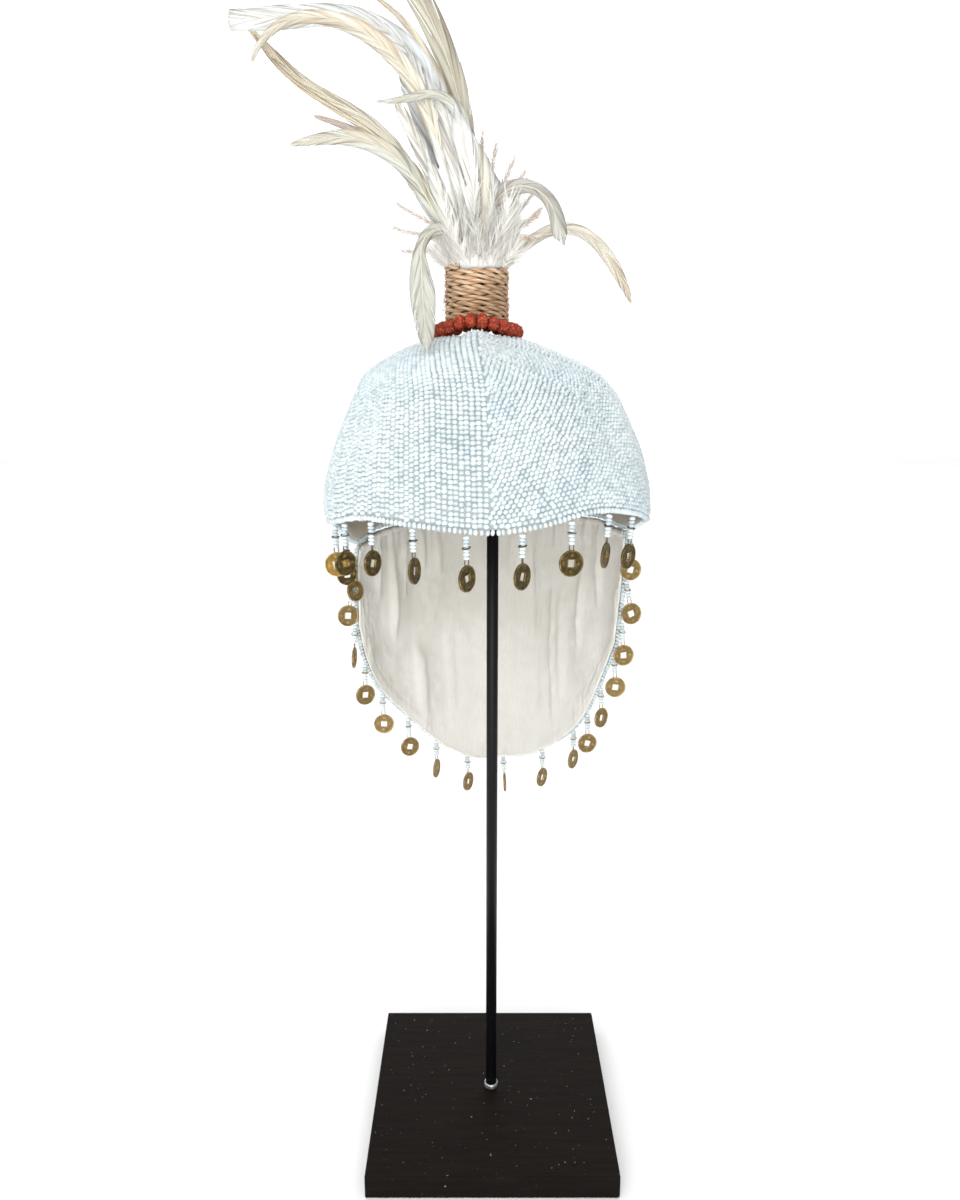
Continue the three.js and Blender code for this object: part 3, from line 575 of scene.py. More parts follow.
class Parts:
    """Points and faces gathered for one piece"""

    def __init__(self):
        self.points, self.faces, self.marks = [], [], []
        self.uvs, self.tints, self.values = [], [], []
        self.count = 0

    def add(self, points, faces, mark=0, uvs=None, tints=None, values=None):
        points = np.asarray(points, float).reshape(-1, 3)
        number = len(points)
        self.points.append(points)
        self.faces += [[corner + self.count for corner in face] for face in faces]
        self.marks += [mark] * len(faces)
        self.uvs.append(np.zeros((number, 2)) if uvs is None else np.reshape(uvs, (number, 2)))
        self.tints.append(np.ones((number, 4)) if tints is None else np.reshape(tints, (number, 4)))
        self.values.append(np.ones(number) if values is None else np.reshape(values, number))
        self.count += number

    def piece(self, name, materials, slot):
        stacked = [np.concatenate(rows) for rows in (self.points, self.uvs, self.tints, self.values)]
        points, uvs, tints, values = stacked
        return add_piece(name, points, self.faces, materials, slot, uvs, self.marks, tints, values)


def grid_faces(rows, columns, first=0, flip=False, wrap_rows=False, wrap_columns=True):
    """Quads between the rows of a grid of points. first: the number of its first point."""
    faces = []
    for row in range(rows if wrap_rows else rows - 1):
        low, high = first + row * columns, first + (row + 1) % rows * columns
        for column in range(columns if wrap_columns else columns - 1):
            after = (column + 1) % columns
            if flip:
                faces.append((low + column, high + column, high + after, low + after))
            else:
                faces.append((low + column, low + after, high + after, high + column))
    return faces


def end_caps(rows, columns):
    """Faces that close the first and the last row of a grid"""
    last = (rows - 1) * columns
    return [tuple(range(columns - 1, -1, -1)), tuple(range(last, last + columns))]


def turned_shape(profile, sides):
    """Points and faces of a closed profile of radius and height turned about Z"""
    points, rings, faces = [], [], []
    for radius, height in profile:
        if radius == 0:
            rings.append([len(points)] * sides)
            points.append((0, 0, height))
            continue
        rings.append(list(range(len(points), len(points) + sides)))
        for side in range(sides):
            angle = 2 * math.pi * side / sides
            points.append((radius * math.cos(angle), radius * math.sin(angle), height))
    for low, high in zip(rings[:-1], rings[1:]):
        for side in range(sides):
            after = (side + 1) % sides
            corners = [low[side], low[after], high[after], high[side]]
            kept = [corner for index, corner in enumerate(corners) if corner not in corners[:index]]
            faces.append(kept)
    return np.array(points, float), faces


# A seed bead of unit radius and unit half length: place along its hole, swell
BEAD_SECTION = [(-1, 0), (-0.74, 0.72), (0, 1), (0.74, 0.72), (1, 0)]
BACK_BEAD_SECTION = [(-1, 0), (-0.6, 0.9), (0.6, 0.9), (1, 0)]
BEAD_SIDES = 7
BEAD_DIAMETER = 3.32
BEAD_LENGTH = 2.45
STRING_PITCH = 3.0
BEAD_PITCH = 2.5

# How far single beads differ: tilt, place off the string and along it, size and its limits
BEAD_TILT = 0.09
BEAD_SHIFT = 0.07
BEAD_SPACING = 0.14
BEAD_SIZE = 0.055
BEAD_SMALLEST = 0.86
BEAD_LARGEST = 1.1

# Reach to each side over which a bead's direction is taken from its string
BEAD_AIM_REACH = 0.6


def bead_shape(sides, section):
    return turned_shape([(swell, along) for along, swell in section], sides)


def axes_from(tangents):
    """Two unit vectors across each tangent"""
    helper = np.where(np.abs(tangents[:, 2:3]) > 0.9, np.array([[1.0, 0, 0]]), np.array([[0, 0, 1.0]]))
    first = unit(np.cross(tangents, helper))
    return first, np.cross(tangents, first)


def many_beads(centres, tangents, length=BEAD_LENGTH, sides=BEAD_SIDES, section=BEAD_SECTION):
    """Points and faces of beads on a string, each a little different"""
    shape, faces = bead_shape(sides, section)
    tangents = unit(tangents + rng.normal(0, BEAD_TILT, tangents.shape))
    centres = centres + rng.normal(0, BEAD_SHIFT, centres.shape)
    first, second = axes_from(tangents)
    size = rng.normal(1, BEAD_SIZE, (len(centres), 1, 1)).clip(BEAD_SMALLEST, BEAD_LARGEST)
    radial = shape[None, :, 0:1] * first[:, None] + shape[None, :, 1:2] * second[:, None]
    axial = shape[None, :, 2:3] * tangents[:, None]
    points = centres[:, None] + (radial * (BEAD_DIAMETER / 2) + axial * (length / 2)) * size
    offsets = np.arange(len(centres))[:, None] * len(shape)
    joined = [corners for face in faces for corners in (offsets + np.array(face)).tolist()]
    return points.reshape(-1, 3), joined


def beads_along(path, pitch=BEAD_PITCH, start=0.0):
    """Centres and directions at an even pitch along a path"""
    run = run_along(path)
    if run[-1] < pitch:
        return np.empty((0, 3)), np.empty((0, 3))
    places = np.arange(start, run[-1], pitch)
    places = places + rng.normal(0, BEAD_SPACING, len(places))

    def at(run_at):
        return np.stack([np.interp(run_at, run, path[:, k]) for k in range(3)], axis=1)

    return at(places), unit(at(places + BEAD_AIM_REACH) - at(places - BEAD_AIM_REACH))


# Gores of the crown: first and last angle, angle whose seam the strings run beside, slant
GORES = [
    ("front_left", -90, 0, 0, 0.0),
    ("front_right", 0, 90, 90, -0.42),
    ("back_right", 90, 180, 90, 0.0),
    ("back_left", -180, -90, -180, 0.1),
]

# Rows of beads: where they end near the apex, the rim's edging, the gap at a seam, how many strings
# beside a seam lie neatly, how far strings wander, points along a string and the fewest that count
APEX_SHARE = 0.03
EDGING_WIDTH = 3.0
EDGING_PITCH = 2.6
EDGING_BEAD_LENGTH = 2.15
SEAM_CLEAR = 0.25
NEAT_STRINGS = 7
STRING_WANDER = 0.2
STRING_SAMPLES = 260
FEWEST_SAMPLES = 4


def crown_strings(first, last, reference, slant):
    """Strings of beads that run up one gore beside its reference seam"""
    middle = (first + last) / 2
    shares = np.linspace(1, APEX_SHARE, STRING_SAMPLES)
    run = run_along(crown_surface(middle, shares))
    mean_half = (CROWN_HALF_WIDTH + CROWN_HALF_DEPTH) / 2
    radius = mean_half * crown_spread(shares * (1 - rim_rise(middle)))
    side = 1 if reference == first else -1
    reach = mean_half * math.radians(last - first) + abs(slant) * run[-1]
    centres, tangents = [], []
    extra = int(abs(slant) * run[-1] * 0.5 / STRING_PITCH) + 1 if slant else 0
    for index in range(-extra, int(reach / STRING_PITCH) + 1 + extra):
        offset = (index + 0.5) * STRING_PITCH * side - slant * run[-1] * 0.5
        wander = STRING_WANDER * np.sin(run / rng.uniform(7, 16) + rng.uniform(0, 6))
        angle = reference + np.degrees((offset + slant * run + wander) / radius)
        margin = np.degrees(SEAM_CLEAR / radius)
        inside = (angle > first + margin) & (angle < last - margin) & (run > EDGING_WIDTH)
        if inside.sum() < FEWEST_SAMPLES:
            continue
        path = crown_point(angle[inside], shares[inside], BEAD_DIAMETER / 2)
        loose = 0 if slant else np.clip((index - NEAT_STRINGS) / NEAT_STRINGS, 0, 1)
        shift = rng.normal(0, 0.15 + 0.35 * loose) + loose * (index % 2) * BEAD_PITCH / 2
        path_centres, path_tangents = beads_along(path, start=BEAD_PITCH / 2 + shift)
        centres.append(path_centres)
        tangents.append(path_tangents)
    return np.concatenate(centres), np.concatenate(tangents)


def crown_beads():
    for name, first, last, reference, slant in GORES:
        centres, tangents = crown_strings(first, last, reference, slant)
        section = BEAD_SECTION if "front" in name else BACK_BEAD_SECTION
        points, faces = many_beads(centres, tangents, section=section)
        add_piece(f"crown_beads_{name}", points, faces, BEAD, "beads")
    angles = np.linspace(-180, 180, 900)
    edge = crown_point(angles, 0.985, BEAD_DIAMETER / 2)
    centres, tangents = beads_along(edge, pitch=EDGING_PITCH)
    points, faces = many_beads(centres, tangents, length=EDGING_BEAD_LENGTH, sides=9)
    add_piece("crown_rim_beads", points, faces, BEAD, "beads")


def flap_path(turn, inset):
    """The upright line on the flap at a turn, from the rim down to its edge"""
    downs = np.linspace(0.0, 1, 90)
    dense = np.linspace(-1, 1, 240)
    places = []
    for down in downs:
        turns = flap_turn(dense, down)
        if turns[0] <= turn <= turns[-1]:
            places.append((np.interp(turn, turns, dense), down))
    if len(places) < 3:
        return None
    across, down = np.array(places).T
    return flap_point(across, down, inset)


def flap_beads():
    radius = CROWN_HALF_WIDTH * FLAP_SPREAD
    count = int(2 * radius * math.radians(FLAP_HALF_ANGLE) / STRING_PITCH)
    centres, tangents = [], []
    for index in range(count):
        path = flap_path(-1 + 2 * (index + 0.5) / count, BEAD_DIAMETER / 2)
        if path is None:
            continue
        path_centres, path_tangents = beads_along(path, start=0.8 + rng.normal(0, 0.15))
        centres.append(path_centres[:-1])
        tangents.append(path_tangents[:-1])
    centres, tangents = np.concatenate(centres), np.concatenate(tangents)
    points, faces = many_beads(centres, tangents, section=BACK_BEAD_SECTION)
    add_piece("flap_beads", points, faces, BEAD, "beads")
    edge = flap_edge(BEAD_DIAMETER / 2)
    centres, tangents = beads_along(edge, pitch=EDGING_PITCH, start=1.2)
    points, faces = many_beads(centres, tangents, length=EDGING_BEAD_LENGTH, sides=10)
    add_piece("flap_edge_beads", points, faces, BEAD, "beads")


def flap_edge(inset, down_from=0.03):
    """The flap's free edge, from the left end of the rim round to the right end"""
    left = flap_point(-1, np.linspace(down_from, 0.99, 60), inset)
    middle = flap_point(np.linspace(-1, 1, 400), 1, inset)
    right = flap_point(1, np.linspace(0.99, down_from, 60), inset)
    return np.concatenate([left, middle, right])


def wall(outer, inner, closed=False):
    """Points and faces of a wall between two grids of rows and columns"""
    rows, columns = outer.shape[:2]
    points = np.concatenate([outer.reshape(-1, 3), inner.reshape(-1, 3)])
    layer = rows * columns
    faces = grid_faces(rows, columns, flip=True, wrap_columns=closed)
    faces += grid_faces(rows, columns, first=layer, wrap_columns=closed)
    low = (rows - 1) * columns
    for column in range(columns if closed else columns - 1):
        after = (column + 1) % columns
        faces.append((column, after, layer + after, layer + column))
        faces.append((low + column, layer + low + column, layer + low + after, low + after))
    for row in range(0 if closed else rows - 1):
        a, b = row * columns, (row + 1) * columns
        faces.append((a, layer + a, layer + b, b))
        a, b = a + columns - 1, b + columns - 1
        faces.append((a, b, layer + b, layer + a))
    return points, faces


def fractal(points, size):
    """Soft noise from about -1 to 1 at points in millimetres"""
    values = [noise.fractal(Vector(point) / size, 1.0, 2.0, 3) for point in points.reshape(-1, 3)]
    return np.array(values).reshape(points.shape[:-1])


# Depth of the backing cloth under the beads' outside, and thickness of the linings
BACKING_INSET = 1.7
CROWN_LINING_THICK = 0.7
FLAP_LINING_THICK = 0.8


def crown_cloths():
    columns, rows = 120, 26
    angles = np.linspace(-180, 180, columns, endpoint=False)
    shares = np.linspace(0.02, 0.972, rows)
    angle, share = np.meshgrid(angles, shares)
    upright_reach = 0.17
    uv = np.stack([np.radians(angle) * CROWN_HALF_WIDTH * MM, share * upright_reach], axis=-1).reshape(-1, 2)
    uvs = np.concatenate([uv, uv])
    outside, inside = (crown_point(angle, share, inset) for inset in (BACKING_INSET, CROWN_WALL))
    backing = wall(outside, inside, closed=True)
    piece = add_piece("crown_cloth", *backing, BACKING, "beads", uvs)
    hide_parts("crown")
    gathers = np.sin(np.radians(angle) * 46 + 3 * share) * bump(share - 0.97, 0.13)
    crease = 0.55 * fractal(crown_point(angle, share, 0), 16) + 0.35 * gathers
    outer = CROWN_WALL + GAP + crease.clip(-0.2, 1.2)
    inner = crown_point(angle, share, outer + CROWN_LINING_THICK)
    lining = wall(crown_point(angle, share, outer), inner, closed=True)
    piece = add_piece("crown_lining_cloth", *lining, SHADED_COTTON, "cotton", uvs)
    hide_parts("crown_lining")


# Creases of the flap's lining towards the viewer: turn, half turn, height, from, to, slope
LINING_CREASES = [
    (-0.82, 0.04, 1.6, 0.05, 0.5, 0.05),
    (-0.7, 0.035, 2.6, 0.06, 0.72, 0.03),
    (-0.62, 0.03, 1.6, 0.0, 0.45, -0.03),
    (-0.47, 0.03, 1.3, -0.05, 0.3, -0.03),
    (-0.36, 0.03, 1.2, 0.0, 0.26, 0.02),
    (-0.28, 0.05, 0.9, 0.35, 0.95, 0.06),
    (-0.5, 0.06, 1.5, 0.5, 1.05, 0.12),
    (0.1, 0.03, 0.9, 0.0, 0.4, 0.0),
    (0.27, 0.024, 2.2, -0.05, 0.6, 0.01),
    (0.32, 0.05, 0.9, 0.3, 0.95, 0.02),
    (0.395, 0.022, 2.2, 0.22, 0.95, 0.015),
    (0.45, 0.05, 1.4, 0.25, 0.9, 0.0),
    (0.6, 0.03, 1.5, 0.1, 0.7, -0.03),
    (0.74, 0.03, 1.6, 0.0, 0.5, -0.02),
]
HEM_WIDTH = 5.5
HEM_RADIUS = 0.75
CREASE_HEIGHT = 2.3

# Broad waves of the flap's lining: size, height
LINING_WAVES = [(30, 1.9), (9, 0.8)]

# Section of the tape over the flap's seam, from below: level, height over the lining
SEAM_TAPE = [(0.6, 0.3), (0.4, 1.3), (-1.5, 1.5), (-3.2, 0.9), (-3.4, 0.1)]


def lining_height(turn, down, place, edge_distance):
    """How far the flap's lining stands towards the viewer"""
    height = sum(lift * fractal(place, size) for size, lift in LINING_WAVES)
    for at, half_turn, depth, start, end, slope in LINING_CREASES:
        middle = (start + end) / 2
        along = bump(down - middle, (end - start) / 2)
        across = bump(turn - at - slope * (down - middle), half_turn)
        height = height + CREASE_HEIGHT * depth * along * across
    gathers = np.sin(turn * 95 + 2.2 * np.sin(turn * 17)) * 0.9 + np.sin(turn * 61 + 1.3) * 0.8
    height = height + gathers * np.exp(-((down / 0.12) ** 2))
    puckers = np.sin(edge_run(turn) * 1.15 + 1.5 * np.sin(edge_run(turn) * 0.21))
    height = height + 0.5 * puckers * np.exp(-(((edge_distance - 4) / 6) ** 2))
    seam = np.exp(-(((edge_distance - HEM_WIDTH) / 0.55) ** 2))
    return height - 0.45 * seam + 0.35 * (edge_distance < HEM_WIDTH)


def edge_run(turn):
    """A rough length along the flap's edge at a turn"""
    return turn * FLAP_HALF_ANGLE * math.pi / 180 * CROWN_HALF_WIDTH * 1.5


def flap_cloths():
    columns, rows = 152, 84
    across, down = np.meshgrid(np.linspace(-1, 1, columns), np.linspace(0.0, 1, rows))
    turn = flap_turn(across, down)
    plain = flap_point(across, down, 0)
    edge = flap_edge(0)
    distance = np.full(across.shape, 1e3)
    for point in edge[::3]:
        distance = np.minimum(distance, np.linalg.norm(plain - point, axis=-1))
    uv = np.stack([np.radians(turn * FLAP_HALF_ANGLE) * CROWN_HALF_WIDTH * MM, plain[..., 2] * MM], axis=-1)
    uvs = np.concatenate([uv.reshape(-1, 2)] * 2)
    coarse = slice(None, None, 4), slice(None, None, 3)
    outside, inside = (flap_point(across, down, inset)[coarse] for inset in (BACKING_INSET, CROWN_WALL))
    backing = wall(outside, inside)
    coarse_uvs = np.concatenate([uv[coarse].reshape(-1, 2)] * 2)
    piece = add_piece("flap_cloth", *backing, BACKING, "beads", coarse_uvs)
    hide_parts("neck_flap")
    height = lining_height(turn, down, plain, distance)
    fade = np.clip(distance / 2.5, 0, 1)
    outer = CROWN_WALL + GAP + 0.6 + (height * fade).clip(-0.5, 6.5)
    lining = wall(flap_point(across, down, outer), flap_point(across, down, outer + FLAP_LINING_THICK))
    piece = add_piece("flap_lining_cloth", *lining, COTTON, "cotton", uvs)
    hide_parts("flap_lining")


def tube(path, radius, sides, closed=False):
    """Points, faces and lengthwise coordinates of a tube along a path"""
    path = np.asarray(path, float)
    count = len(path)
    ahead = np.roll(path, -1, axis=0) - np.roll(path, 1, axis=0)
    if not closed:
        ahead[0], ahead[-1] = path[1] - path[0], path[-1] - path[-2]
    tangents = unit(ahead)
    normals = np.empty_like(path)
    normals[0] = axes_from(tangents[:1])[0][0]
    for index in range(1, count):
        kept = normals[index - 1] - tangents[index] * np.dot(normals[index - 1], tangents[index])
        normals[index] = kept / np.linalg.norm(kept)
    binormals = np.cross(tangents, normals)
    radius = np.broadcast_to(np.asarray(radius, float), (count,))
    angles = 2 * np.pi * np.arange(sides) / sides
    cosines, sines = np.cos(angles)[None, :, None], np.sin(angles)[None, :, None]
    ring = cosines * normals[:, None] + sines * binormals[:, None]
    points = path[:, None] + ring * radius[:, None, None]
    run, round_share = together(run_along(path)[:, None] * 0.01, (angles / (2 * np.pi))[None])
    uvs = np.stack([run, round_share], axis=-1)
    faces = grid_faces(count, sides, wrap_rows=closed)
    if not closed:
        faces += end_caps(count, sides)
    return points.reshape(-1, 3), faces, uvs.reshape(-1, 2)


def flap_hem():
    """Rolled edge of the lining, and a narrow strip where the flap meets the crown"""
    path = flap_edge(CROWN_WALL + GAP + 1.0)[::2]
    points, faces, uvs = tube(path, HEM_RADIUS, 8)
    add_piece("flap_hem", points, faces, COTTON, "cotton", uvs * MM)
    across = np.linspace(-1, 1, 160)
    rows = []
    for level, lift in SEAM_TAPE:
        rim = crown_point(rim_angle(across), 1, CROWN_WALL + GAP + 0.9 + lift)
        rim[:, 2] += level - 1.0 + 0.25 * np.sin(across * 70)
        rows.append(rim)
    outer = np.stack(rows)
    inner = outer + unit(outer * [1, 1, 0] - np.array([RIM_CENTRE_X, RIM_CENTRE_Y, 0])) * 0.5
    points, faces = wall(inner, outer)
    uv = np.stack(np.meshgrid(across * 0.12, np.linspace(0, 0.006, len(SEAM_TAPE))), axis=-1).reshape(-1, 2)
    add_piece("flap_seam_tape", points, faces, COTTON, "cotton", np.concatenate([uv, uv]))


# Jute cord: two plies that turn about each other while the cord winds up the quills
PLY_RADIUS = 0.93
PLY_OFFSET = 0.84
PLY_LAY = 17.4
FIBRES = 320
ROPE_SAMPLES = 1300
ROPE_SIDES = 10


def lay_change(around):
    """The twist is looser in some places than in others, so that no lobes line up"""
    return 1.5 * np.sin(around * 0.31) + 1.0 * np.sin(around * 0.83 + 1) + 0.45 * np.sin(around * 2.3)


def depth_in_wrap(points, centre_radius):
    """0 in the valleys between the plies, 1 on their outermost line; it paints shade into the valleys"""
    outward = np.hypot(points[:, 0] - STEM_X, points[:, 1] - STEM_Y)
    return np.clip((outward - centre_radius) / (ROPE_DIAMETER / 2), 0, 1)


def loose_fibre(gathered, start, aim):
    """A short thin fibre that stands off the cord"""
    reach = rng.uniform(1.5, 4.5)
    bend = unit(rng.normal(0, 1, 3)) * 0.6
    path = [start + aim * reach * s + bend * s * s for s in (0, 0.35, 0.7, 1)]
    points, faces, uvs = tube(path, [0.09, 0.08, 0.06, 0.03], 3)
    gathered.add(points, faces, uvs=uvs)


def rope():
    centre_radius = QUILL_RADIUS + GAP + ROPE_DIAMETER / 2 + 0.15
    turns = ROPE_TURNS - 0.1
    around = np.linspace(0, 2 * np.pi * turns, ROPE_SAMPLES)
    share = around / around[-1]
    climb = ROPE_BOTTOM + ROPE_DIAMETER / 2 + (ROPE_TOP - ROPE_BOTTOM - ROPE_DIAMETER) * share
    climb = climb + 0.22 * np.sin(around * 0.37 + 1) * share
    outward = np.stack([np.sin(around), -np.cos(around), np.zeros(ROPE_SAMPLES)], axis=1)
    middle = np.stack([np.full(ROPE_SAMPLES, STEM_X), np.full(ROPE_SAMPLES, STEM_Y), climb], axis=1)
    core = middle + outward * centre_radius
    twist = 2 * np.pi * around * centre_radius / PLY_LAY + lay_change(around)
    up = np.array([0, 0, 1.0])
    gathered = Parts()
    for ply in (0, np.pi):
        swing = np.cos(twist + ply)[:, None] * outward * 0.75 - np.sin(twist + ply)[:, None] * up
        radius = PLY_RADIUS * (1 + 0.05 * np.sin(around * 7.3 + ply))
        points, faces, uvs = tube(core + swing * PLY_OFFSET, radius, ROPE_SIDES)
        gathered.add(points, faces, uvs=uvs, values=depth_in_wrap(points, centre_radius))
    picks = rng.integers(0, ROPE_SAMPLES - 1, FIBRES)
    for pick in picks:
        along = np.array([math.cos(around[pick]), math.sin(around[pick]), 0]) * rng.choice([-1, 1])
        aim = unit(along + outward[pick] * rng.uniform(0.15, 0.9) + up * rng.normal(0, 0.45))
        start = core[pick] + outward[pick] * 1.5 + up * rng.uniform(-1.2, 1.2)
        loose_fibre(gathered, start, aim)
    piece = gathered.piece("rope_cord", JUTE, "jute")
    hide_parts("rope_wrap")


def crown_height_at(x, y):
    """Top of the crown's beads under a point near the stem"""
    heights = 0
    for share in np.arange(0, 0.2, 0.01):
        ring = crown_surface(np.arange(0, 360, 6), share)
        away = np.hypot(ring[:, 0] - x, ring[:, 1] - y)
        reach = RING_BEAD_DIAMETER / 2 + GAP
        seat = np.where(away < reach, ring[:, 2] + np.sqrt(np.maximum(reach**2 - away**2, 0)), 0)
        heights = max(heights, seat.max())
    return heights


# Seed: points round and along it, fullness of its ends, size of its knobs, depth of its crevices
SEED_AROUND = 40
SEED_ALONG = 20
SEED_FULLNESS = 0.72
KNOBS_PER_MM = 0.62
GROOVE_SHARE = 0.28
SEED_SMALLEST = 0.77
SEED_KNOB_RISE = 0.26


def knobbly_seed(length, radius):
    """One dry seed: a barrel with deep crevices between its knobs, its hole along X"""
    thetas = np.linspace(0, 2 * np.pi, SEED_AROUND, endpoint=False)
    theta, phi = np.meshgrid(thetas, np.linspace(0.06, np.pi - 0.06, SEED_ALONG))
    swell = np.sin(phi) ** SEED_FULLNESS
    skin = [-np.cos(phi) * length / 2, np.cos(theta) * swell * radius, np.sin(theta) * swell * radius]
    skin = np.stack(skin, axis=-1)
    shift = rng.uniform(-50, 50, 3)
    cells = []
    for point in skin.reshape(-1, 3):
        distances, _ = noise.voronoi(Vector(point * KNOBS_PER_MM + shift))
        cells.append(distances[1] - distances[0])
    cells = np.clip(np.array(cells) * 1.5, 0, 1).reshape(theta.shape) ** 0.8
    grooves = np.abs(np.sin(theta * 2.5 + shift[0])) ** 0.35
    height = (1 - GROOVE_SHARE) * cells + GROOVE_SHARE * grooves
    scale = SEED_SMALLEST + SEED_KNOB_RISE * height
    points = skin * np.stack([np.ones_like(scale), scale, scale], axis=-1)
    faces = grid_faces(SEED_ALONG, SEED_AROUND) + end_caps(SEED_ALONG, SEED_AROUND)
    return points.reshape(-1, 3), faces, height.ravel()


# The ring hangs lower at the hat's sides than in front
RING_ARCH = 3.2


def seed_ring():
    radius = RING_BEAD_DIAMETER / 2
    ring_radius = ROPE_OUTER + GAP + radius
    spacing = 2 * math.pi * ring_radius / RING_BEADS
    gathered = Parts()
    turns = 2 * np.pi * (np.arange(RING_BEADS) + 0.5) / RING_BEADS
    places = [(STEM_X + ring_radius * np.sin(turn), STEM_Y - ring_radius * np.cos(turn)) for turn in turns]
    levels = np.array([crown_height_at(x, y) for x, y in places])
    for _ in range(3):
        levels = (np.roll(levels, 1) + 2 * levels + np.roll(levels, -1)) / 4
    for around, (x, y), level in zip(turns, places, levels):
        centre = np.array([x, y, level + RING_ARCH * (0.35 - math.sin(around) ** 2) + rng.normal(0, 0.15)])
        length = spacing * rng.uniform(0.97, 1.01)
        points, faces, height = knobbly_seed(length, radius * rng.uniform(0.98, 1.06))
        along = np.array([math.cos(around), math.sin(around), 0])
        outward = np.array([math.sin(around), -math.cos(around), 0])
        frame_axes = np.stack([along, outward, [0, 0, 1.0]])
        gathered.add(centre + points @ frame_axes, faces, values=height)
    piece = gathered.piece("seed_ring", HUSK, "seeds")
    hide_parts("bead_ring")


# Drop: a string of beads, a wire ring half way, a wire loop and a coin
STRING_LENGTH = 11.6
LOOP_LENGTH = 2.6
COIN_DIAMETER = 13.3
COIN_THICKNESS = 1.3
COIN_HOLE = 3.9
DROP_BEAD_LENGTH = 1.83
DROP_BEADS = 6
DROP_BEAD_SIDES = 14
WIRE_RING_RADIUS = 2.0
WIRE_RADIUS = 0.3
LOOP_HALF_WIDTH = 1.25
LOOP_OVERLAP = 0.75
LOOP_WIRE_RADIUS = 0.27
COIN_RELIEF = 0.32
COIN_EDGE_ROUNDING = 0.25
COIN_AROUND = 40

# A drop's bead of unit radius and unit half length: place along its hole, swell
HALF_BEAD = [(0.25, 1), (0.7, 0.86), (0.98, 0.5), (1, 0)]
DROP_BEAD_SECTION = [(-along, swell) for along, swell in HALF_BEAD[::-1]] + HALF_BEAD

# Rings of points on a coin's face, as shares from its hole to its edge
COIN_STEPS = [0, 0.05, 0.1, 0.16, 0.3, 0.45, 0.6, 0.72, 0.8, 0.86, 0.93, 0.985, 1]


def node_points(node):
    return np.array([vertex.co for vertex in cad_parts[node].data.vertices]) / MM


def drop_frame(node):
    """Top, and the axes side, coin normal and up, of a drop, from its CAD solid"""
    points = node_points(node)
    ring = points[points[:, 2] > points[:, 2].max() - 3]
    top = ring.mean(axis=0)
    up = np.linalg.svd(ring - top)[2][2]
    up = up if up[2] > 0 else -up
    spread = np.zeros((3, 3))
    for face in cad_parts[node].data.polygons:
        normal = np.array(face.normal)
        spread += face.area * np.outer(normal, normal)
    normal = np.linalg.eigh(spread)[1][:, 2]
    normal = unit(normal - up * np.dot(normal, up))
    normal = normal if normal[1] < 0 else -normal
    return top, np.stack([np.cross(normal, up), normal, up])


def coin_shape():
    """A coin with a square hole, raised rims and four low marks, facing Y"""
    angles = 2 * np.pi * (np.arange(COIN_AROUND) + 0.5) / COIN_AROUND
    inner = COIN_HOLE / 2 / np.maximum(np.abs(np.cos(angles)), np.abs(np.sin(angles)))
    round_marks = np.clip(np.cos(angles * 4), 0, 1) ** 2 * 0.8 * (0.7 + 0.3 * np.cos(angles * 12))
    rows, values = [], []
    for share in COIN_STEPS:
        radius = inner + (COIN_DIAMETER / 2 - inner) * share
        rim = bump(share - 0.93, 0.11) + bump(share - 0.03, 0.09)
        raised = np.clip(rim + bump(share - 0.46, 0.24) * round_marks, 0, 1)
        height = COIN_THICKNESS / 2 - COIN_RELIEF + COIN_RELIEF * raised
        height = height - COIN_EDGE_ROUNDING * (share == 1)
        rows.append(np.stack([radius * np.cos(angles), -height, radius * np.sin(angles)], axis=-1))
        values.append(raised * 0.8 + 0.2)
    front = np.concatenate(rows)
    points = np.concatenate([front, front * [1, -1, 1]])
    layer = len(COIN_STEPS) * COIN_AROUND
    faces = grid_faces(len(COIN_STEPS), COIN_AROUND)
    faces += grid_faces(len(COIN_STEPS), COIN_AROUND, first=layer, flip=True)
    last = layer - COIN_AROUND
    for side in range(COIN_AROUND):
        after = (side + 1) % COIN_AROUND
        faces.append((side, layer + side, layer + after, after))
        faces.append((last + side, last + after, layer + last + after, layer + last + side))
    return points, faces, np.concatenate(values * 2)


def ring_path(radius_x, radius_z, count=24):
    angles = 2 * np.pi * np.arange(count) / count
    return np.stack([radius_x * np.cos(angles), np.zeros(count), radius_z * np.sin(angles)], axis=1)


def turn_about(points, euler, centre=(0, 0, 0)):
    matrix = np.array(Euler([math.radians(value) for value in euler]).to_matrix())
    return points @ matrix.T + np.array(centre)


COIN = coin_shape()


